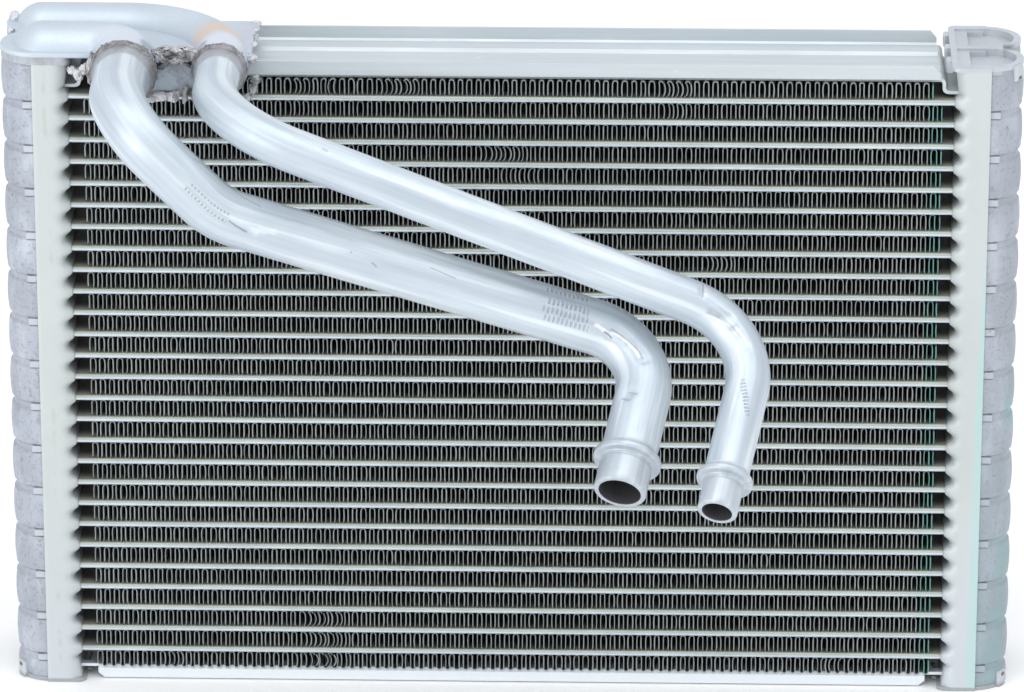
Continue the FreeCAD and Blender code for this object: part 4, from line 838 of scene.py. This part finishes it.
def fin_mesh(n):
    z_hi = TOP_Z + TUBE_T / 2 - (n - 1) * PITCH + (PITCH - TUBE_T) - 0.02
    z_lo = z_hi - (PITCH - TUBE_T) + 0.04
    LEGS = 185 if n == 1 else 189
    r = LEG / 2
    k = np.arange(LEGS)
    R = np.random.RandomState(900 + n)
    # the sheet wanders a little: a slow drift of the pitch and a small lean of each leg
    slow = np.interp(k, np.linspace(0, LEGS - 1, 15), R.uniform(-0.28, 0.28, 15))
    slow *= np.clip(np.minimum(k, LEGS - 1 - k) / 8.0, 0, 1)
    xk = FIN_X - (LEGS - 1) * LEG / 2 + k * LEG + slow + R.uniform(-0.09, 0.09, LEGS)
    bow = R.uniform(-0.13, 0.13, LEGS) + 0.10 * np.where(k % 2 == 0, -1.0, 1.0) * R.uniform(-0.2, 1.3, LEGS)
    for cx, hw, push, rag in BENT.get(n, []):
        w = np.clip(1 - ((xk - cx) / hw) ** 2, 0, 1)
        bow = bow + w * push + w * R.uniform(-rag, rag, LEGS) * 0.6
    V, F, base = [], [], 0
    mid = 0.5 * (z_hi + z_lo)
    half = 0.5 * (z_hi - z_lo)

    def shape(x, z, b, y):
        """sideways bow of a leg, strongest near the front edge"""
        fade = np.clip(1.0 - (y - FIN_Y0) / 14.0, 0.15, 1.0)
        return x + b * np.cos(np.clip((z - mid) / half, -1, 1) * math.pi / 2) * fade

    def add(v, f):
        nonlocal base
        V.append(v)
        F.append(f + base)
        base += len(v)

    # crowns and roots, outer skin from front to back, and the cut edge that faces forward and back
    t = 0.11
    for j in range(LEGS - 1):
        up = j % 2 == 0
        xa, xb = xk[j], xk[j + 1]
        cx, rx = 0.5 * (xa + xb), 0.5 * (xb - xa)
        zc = z_hi - r if up else z_lo + r
        s = 1.0 if up else -1.0
        a = np.linspace(math.pi, 0, ARC + 1)
        for_y = []
        for y in (FIN_Y0, FIN_Y1):
            for rr in (1.0 + t / r, 1.0 - t / r):
                for_y.append(np.stack([cx + rx * rr * np.cos(a), np.full(ARC + 1, y), zc + s * r * (rr if rr < 1 else 1.0) * np.sin(a)], 1))
        v = np.concatenate(for_y)
        m = ARC + 1
        i = np.arange(ARC)
        f = np.concatenate([
            np.stack([i, i + 1, m + i + 1, m + i], 1),                       # front edge
            np.stack([i, 2 * m + i, 2 * m + i + 1, i + 1], 1),               # outer skin
            np.stack([2 * m + i, 3 * m + i, 3 * m + i + 1, 2 * m + i + 1], 1)])  # back edge
        add(v, f)
    # legs: a flat margin with a cut edge at the front and back, then louvres across the depth
    z0, z1 = z_lo + r, z_hi - r
    zs = np.linspace(z0, z1, 4)
    wide = R.uniform(0.9, 1.7, LEGS)
    slats = np.arange(FIN_Y0 + 1.35, FIN_Y1 - 1.2, 1.06)
    for j in range(LEGS):
        x, b = xk[j], bow[j]
        rows = []
        for y in (FIN_Y0, FIN_Y0 + 0.85):
            for sx in (-t * wide[j], t * wide[j]):
                rows.append(np.stack([shape(x + sx, zs, b, y), np.full(4, y), zs], 1))
        v = np.concatenate(rows)
        i = np.arange(3)
        f = np.concatenate([np.stack([i, 4 + i, 5 + i, i + 1], 1), np.stack([i, i + 1, 9 + i, 8 + i], 1), np.stack([4 + i, 12 + i, 13 + i, 5 + i], 1)])
        add(v, f)
        yb = FIN_Y1
        v = np.array([[x - t, yb, z0], [x + t, yb, z0], [x + t, yb, z1], [x - t, yb, z1], [x, yb - 0.85, z0], [x, yb - 0.85, z1]])
        add(v, np.array([[0, 1, 2, 3], [4, 0, 3, 5]]))
        # louvre slats turned about the upright, facing one way in the front half of each tube row and the other way behind
        ang = np.where(((slats - FIN_Y0) % 17.4) < 8.7, 1.0, -1.0) * math.radians(26)
        hl = 0.5
        dx, dy = hl * np.sin(ang), hl * np.cos(ang)
        zl, zh = z0 - 0.25, z1 + 0.25
        q = len(slats)
        v = np.empty((q, 4, 3))
        for c, (sg, zz) in enumerate(((-1, zl), (1, zl), (1, zh), (-1, zh))):
            yy = slats + sg * dy
            v[:, c, 0] = x + sg * dx + (b * 0.55 * np.clip(1.0 - (yy - FIN_Y0) / 14.0, 0.15, 1.0))
            v[:, c, 1] = yy
            v[:, c, 2] = zz
        add(v.reshape(-1, 3), (np.arange(q)[:, None] * 4 + np.arange(4)[None, :]))
    V = np.concatenate(V)
    F = np.concatenate(F)
    V[:, 2] = np.clip(V[:, 2], z_lo, z_hi)
    return V, F


for n in range(1, 29):
    V, F = fin_mesh(n)
    o = mesh_object("fin_detail_%02d" % n, V, F, FIN, smooth=False)
    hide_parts("fin_%02d" % n)


# ------------------------------------------------------------------ pipes
def smooth_path(pts, bends, step=0.7):
    """centre line of straight runs and arcs: points, tangents, distance"""
    pts = [Vector(p) for p in pts]
    out = []
    cur = pts[0]
    for k in range(1, len(pts) - 1):
        a = (pts[k] - pts[k - 1]).normalized()
        b = (pts[k + 1] - pts[k]).normalized()
        ang = a.angle(b)
        R = bends[k - 1]
        tl = R * math.tan(ang / 2)
        s = pts[k] - a * tl
        m = max(2, int((s - cur).length / step))
        for i in range(m):
            out.append((cur.lerp(s, i / m), a))
        n = a.cross(b).normalized()
        inward = n.cross(a).normalized()
        c = s + inward * R
        m = max(3, int(R * ang / step))
        for i in range(m):
            t = ang * i / m
            p = c - inward * (R * math.cos(t)) + a * (R * math.sin(t))
            out.append((p, (a * math.cos(t) + inward * math.sin(t)).normalized()))
        cur = pts[k] + b * tl
    d = (pts[-1] - cur).normalized()
    return out, cur, d, (pts[-1] - cur).length


def pipe_mesh(name, node, pts, bends, od, wall, end, dents, mat, seg=84):
    ro, ri = od / 2, od / 2 - wall
    rs, rb, lsp, rbead, tb = end
    path, cur, d, total = smooth_path(pts, bends)
    bd0 = total - lsp - tb
    # stations of the turned end: distance along the end piece and radius
    m = max(2, int(bd0 - 0.8))
    for i in range(m):
        path.append((cur + d * ((bd0 - 0.8) * i / m), d))
    prof = [ro] * len(path)
    sp0 = total - lsp
    turned = [(bd0 - 0.8, ro), (bd0 - 0.35, ro + 0.08), (bd0 - 0.12, ro + 0.3), (bd0, ro + 0.6), (bd0, rbead - 0.75), (bd0 + 0.08, rbead - 0.42), (bd0 + 0.3, rbead - 0.14), (bd0 + 0.62, rbead - 0.02),
              (bd0 + tb / 2, rbead), (sp0 - 0.62, rbead - 0.02), (sp0 - 0.3, rbead - 0.14), (sp0 - 0.08, rbead - 0.42), (sp0, rbead - 0.75), (sp0, rs + 0.55), (sp0 + 0.15, rs + 0.25), (sp0 + 0.5, rs),
              (sp0 + 1.2, rs), (sp0 + 1.25, rs - 0.12), (sp0 + 1.75, rs - 0.12), (sp0 + 1.8, rs), (total - 3.0, rs), (total - 0.45, rs), (total - 0.15, rs - 0.16), (total, rs - 0.42),
              (total, rb + 0.25), (total - 0.08, rb + 0.08), (total - 0.3, rb), (total - 3.0, rb), (total - 6.0, rb), (total - lsp - 1.5, rb), (total - lsp - 2.5, ri), (total - lsp - 14.0, ri)]
    for s, r in turned:
        path.append((cur + d * s, d))
        prof.append(r)
    # frames carried along the line
    T = np.array([t[:] for _, t in path])
    P = np.array([p[:] for p, _ in path])
    up = np.array([0.0, 0.0, 1.0])
    N = np.empty_like(T)
    v = up - T[0] * np.dot(up, T[0])
    N[0] = v / np.linalg.norm(v)
    for i in range(1, len(T)):
        v = N[i - 1] - T[i] * np.dot(N[i - 1], T[i])
        N[i] = v / np.linalg.norm(v)
    Bn = np.cross(T, N)
    dist = np.concatenate([[0], np.cumsum(np.linalg.norm(np.diff(P, axis=0), axis=1))])
    th = np.linspace(-math.pi, math.pi, seg, endpoint=False)
    c, s = np.cos(th), np.sin(th)
    rad = np.array(prof)[:, None] * np.ones(seg)[None, :]
    plain = len(path) - len(turned)
    # hand-bent tube: slight waviness, and the dents and flats seen in the photograph
    for i in range(plain):
        fade = min(1.0, i / 6.0, (plain - i) / 6.0)
        for j in range(seg):
            q = P[i] + (N[i] * c[j] + Bn[i] * s[j]) * ro
            rad[i, j] -= fade * 0.10 * max(0.0, noise.noise(Vector(q) * 0.09) + 0.2)
    pts3 = P[:, None, :] + rad[:, :, None] * (N[:, None, :] * c[None, :, None] + Bn[:, None, :] * s[None, :, None])
    nrm = N[:, None, :] * c[None, :, None] + Bn[:, None, :] * s[None, :, None]
    for (px, py, pz), (rx, ry, rz), depth, kind in dents:
        dd = (pts3[:plain] - np.array([px, py, pz])) / np.array([rx, ry, rz])
        w = np.clip(1 - (dd ** 2).sum(2), 0, 1)
        w = w * w * (3 - 2 * w) if kind == "soft" else np.sqrt(w) * w
        pts3[:plain] -= nrm[:plain] * (w * depth)[:, :, None]
    verts = pts3.reshape(-1, 3)
    a = len(path)
    i = np.arange(a - 1)[:, None]
    j = np.arange(seg)[None, :]
    j2 = (j + 1) % seg
    F = np.stack([i * seg + j, i * seg + j2, (i + 1) * seg + j2, (i + 1) * seg + j], 2).reshape(-1, 4)
    o = mesh_object(name, verts, F, mat, smooth=True)
    # the map runs along the pipe and round it, with its seam at the back
    du = dist[:, None] * np.ones(seg)[None, :]
    du[plain:] += 1000.0                             # marks the turned end
    du[len(path) - 7:] += 2000.0                     # marks the bore
    dv = (th * ro)[None, :] * np.ones(a)[:, None]
    w = 2 * math.pi * ro / seg
    uv = np.stack([np.stack([du[:-1], dv[:-1]], -1), np.stack([du[:-1], dv[:-1] + w], -1), np.stack([du[1:], dv[1:] + w], -1), np.stack([du[1:], dv[1:]], -1)], 2) * 0.001
    layer = o.data.uv_layers.new(name="UVMap")
    layer.data.foreach_set("uv", uv.reshape(-1))
    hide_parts(node)
    soften(o, 50)
    return o


BIG = [(-110.6, -5.0, 193.0), (-110.6, -45.0, 193.0), (-81.60, -45.0, 163.71), (42.09, -45.0, 125.39), (32.60, -85.60, 96.61)]
SMALL = [(-83.0, -5.0, 194.0), (-83.0, -51.0, 194.0), (72.20, -51.0, 132.80), (59.67, -101.22, 97.35)]


def trail(a, b, n, radii, depth, kind="soft"):
    return [((a[0] + (b[0] - a[0]) * i / (n - 1), a[1] + (b[1] - a[1]) * i / (n - 1), a[2] + (b[2] - a[2]) * i / (n - 1)), radii, depth, kind) for i in range(n)]


BIG_DENTS = (trail((-89.4, -52.9, 174.2), (-85.4, -52.7, 171.4), 2, (2.6, 3.0, 1.4), 0.25)
             + trail((-78.1, -52.7, 165.1), (-71.6, -52.9, 160.9), 4, (2.4, 3.0, 1.2), 0.45, "sharp")
             + trail((25.1, -52.2, 134.2), (29.6, -53.4, 130.8), 3, (2.2, 3.0, 1.6), 0.50, "sharp")
             + trail((30.5, -52.0, 132.2), (38.8, -58.2, 126.3), 6, (2.8, 3.0, 2.0), 0.38)
             + [((33.6, -66.9, 118.2), (3.4, 2.0, 1.2), 0.38, "soft"), ((35.6, -66.3, 119.6), (3.4, 2.0, 1.2), 0.32, "soft"), ((10.0, -49.0, 140.6), (5, 5, 3), 0.2, "soft")])
SMALL_DENTS = ([((55.3, -53.7, 145.1), (1.1, 3.0, 4.0), 0.45, "sharp")] + trail((56.4, -57.6, 140.6), (62.0, -58.6, 138.7), 3, (3.0, 3.0, 2.0), 0.38)
               + trail((64.5, -60.7, 135.9), (67.4, -63.9, 132.5), 3, (1.8, 2.5, 1.8), 0.38, "sharp"))
pipe_mesh("suction_pipe_skin", "suction_pipe", BIG, [18.0, 25.0, 18.0], 15.88, 1.2, (7.45, 5.9, 9.7, 9.7, 2.3), BIG_DENTS, PIPES["suction"])
pipe_mesh("liquid_pipe_skin", "liquid_pipe", SMALL, [25.0, 22.5], 12.70, 1.15, (5.65, 4.15, 9.6, 8.0, 2.2), SMALL_DENTS, PIPES["liquid"], seg=76)

# ------------------------------------------------------------------ floor, light, camera
fm = Mat("pale_floor")
fm.done(fm.ramp(fm.noise(3.0, 2, 0.5), [(0.3, (0.985, 0.98, 0.975)), (0.7, (0.998, 0.994, 0.99))]), 0.85, 0.0)
me = bpy.data.meshes.new("floor")
me.from_pydata([(-40, -40, 0), (40, -40, 0), (40, 40, 0), (-40, 40, 0)], [], [(0, 1, 2, 3)])
me.materials.append(fm.m)
floor = bpy.data.objects.new("floor", me)
SC.collection.objects.link(floor)

world = bpy.data.worlds.new("studio")
SC.world = world
world.use_nodes = True
wn = world.node_tree
wn.nodes.clear()
wo = wn.nodes.new("ShaderNodeOutputWorld")
bg = wn.nodes.new("ShaderNodeBackground")
bg.inputs[0].default_value = (0.95, 0.97, 1.0, 1)
bg.inputs[1].default_value = 0.93
wn.links.new(bg.outputs[0], wo.inputs[0])


def area(name, loc, target, size, power, color=(1, 1, 1)):
    L = bpy.data.lights.new(name, "AREA")
    L.shape = "RECTANGLE"
    L.size, L.size_y = size
    L.energy = power
    L.color = color
    o = bpy.data.objects.new(name, L)
    o.location = loc
    o.rotation_euler = (Vector(target) - Vector(loc)).to_track_quat("-Z", "Y").to_euler()
    SC.collection.objects.link(o)
    return o


area("key_overhead", (0.1, -0.35, 1.6), (0, 0, 0.1), (1.8, 1.0), 10)
area("fill_left", (-1.3, -1.5, 0.35), (0, 0, 0.1), (1.4, 1.0), 12)
area("fill_right", (1.3, -1.0, 0.6), (0, 0, 0.1), (0.7, 1.0), 2)

cam = bpy.data.cameras.new("camera")
cam.sensor_fit = "HORIZONTAL"
cam.sensor_width = 36.0
cam.lens = 223.6
cam.clip_end = 200
co = bpy.data.objects.new("camera", cam)
co.location = (0.04466, (-1730.16 + YS) * 0.001, 0.76697)
co.rotation_euler = (math.radians(90 - 20.8592), 0, math.radians(1.4665))
SC.collection.objects.link(co)
SC.camera = co
SC.view_settings.view_transform = "Standard"
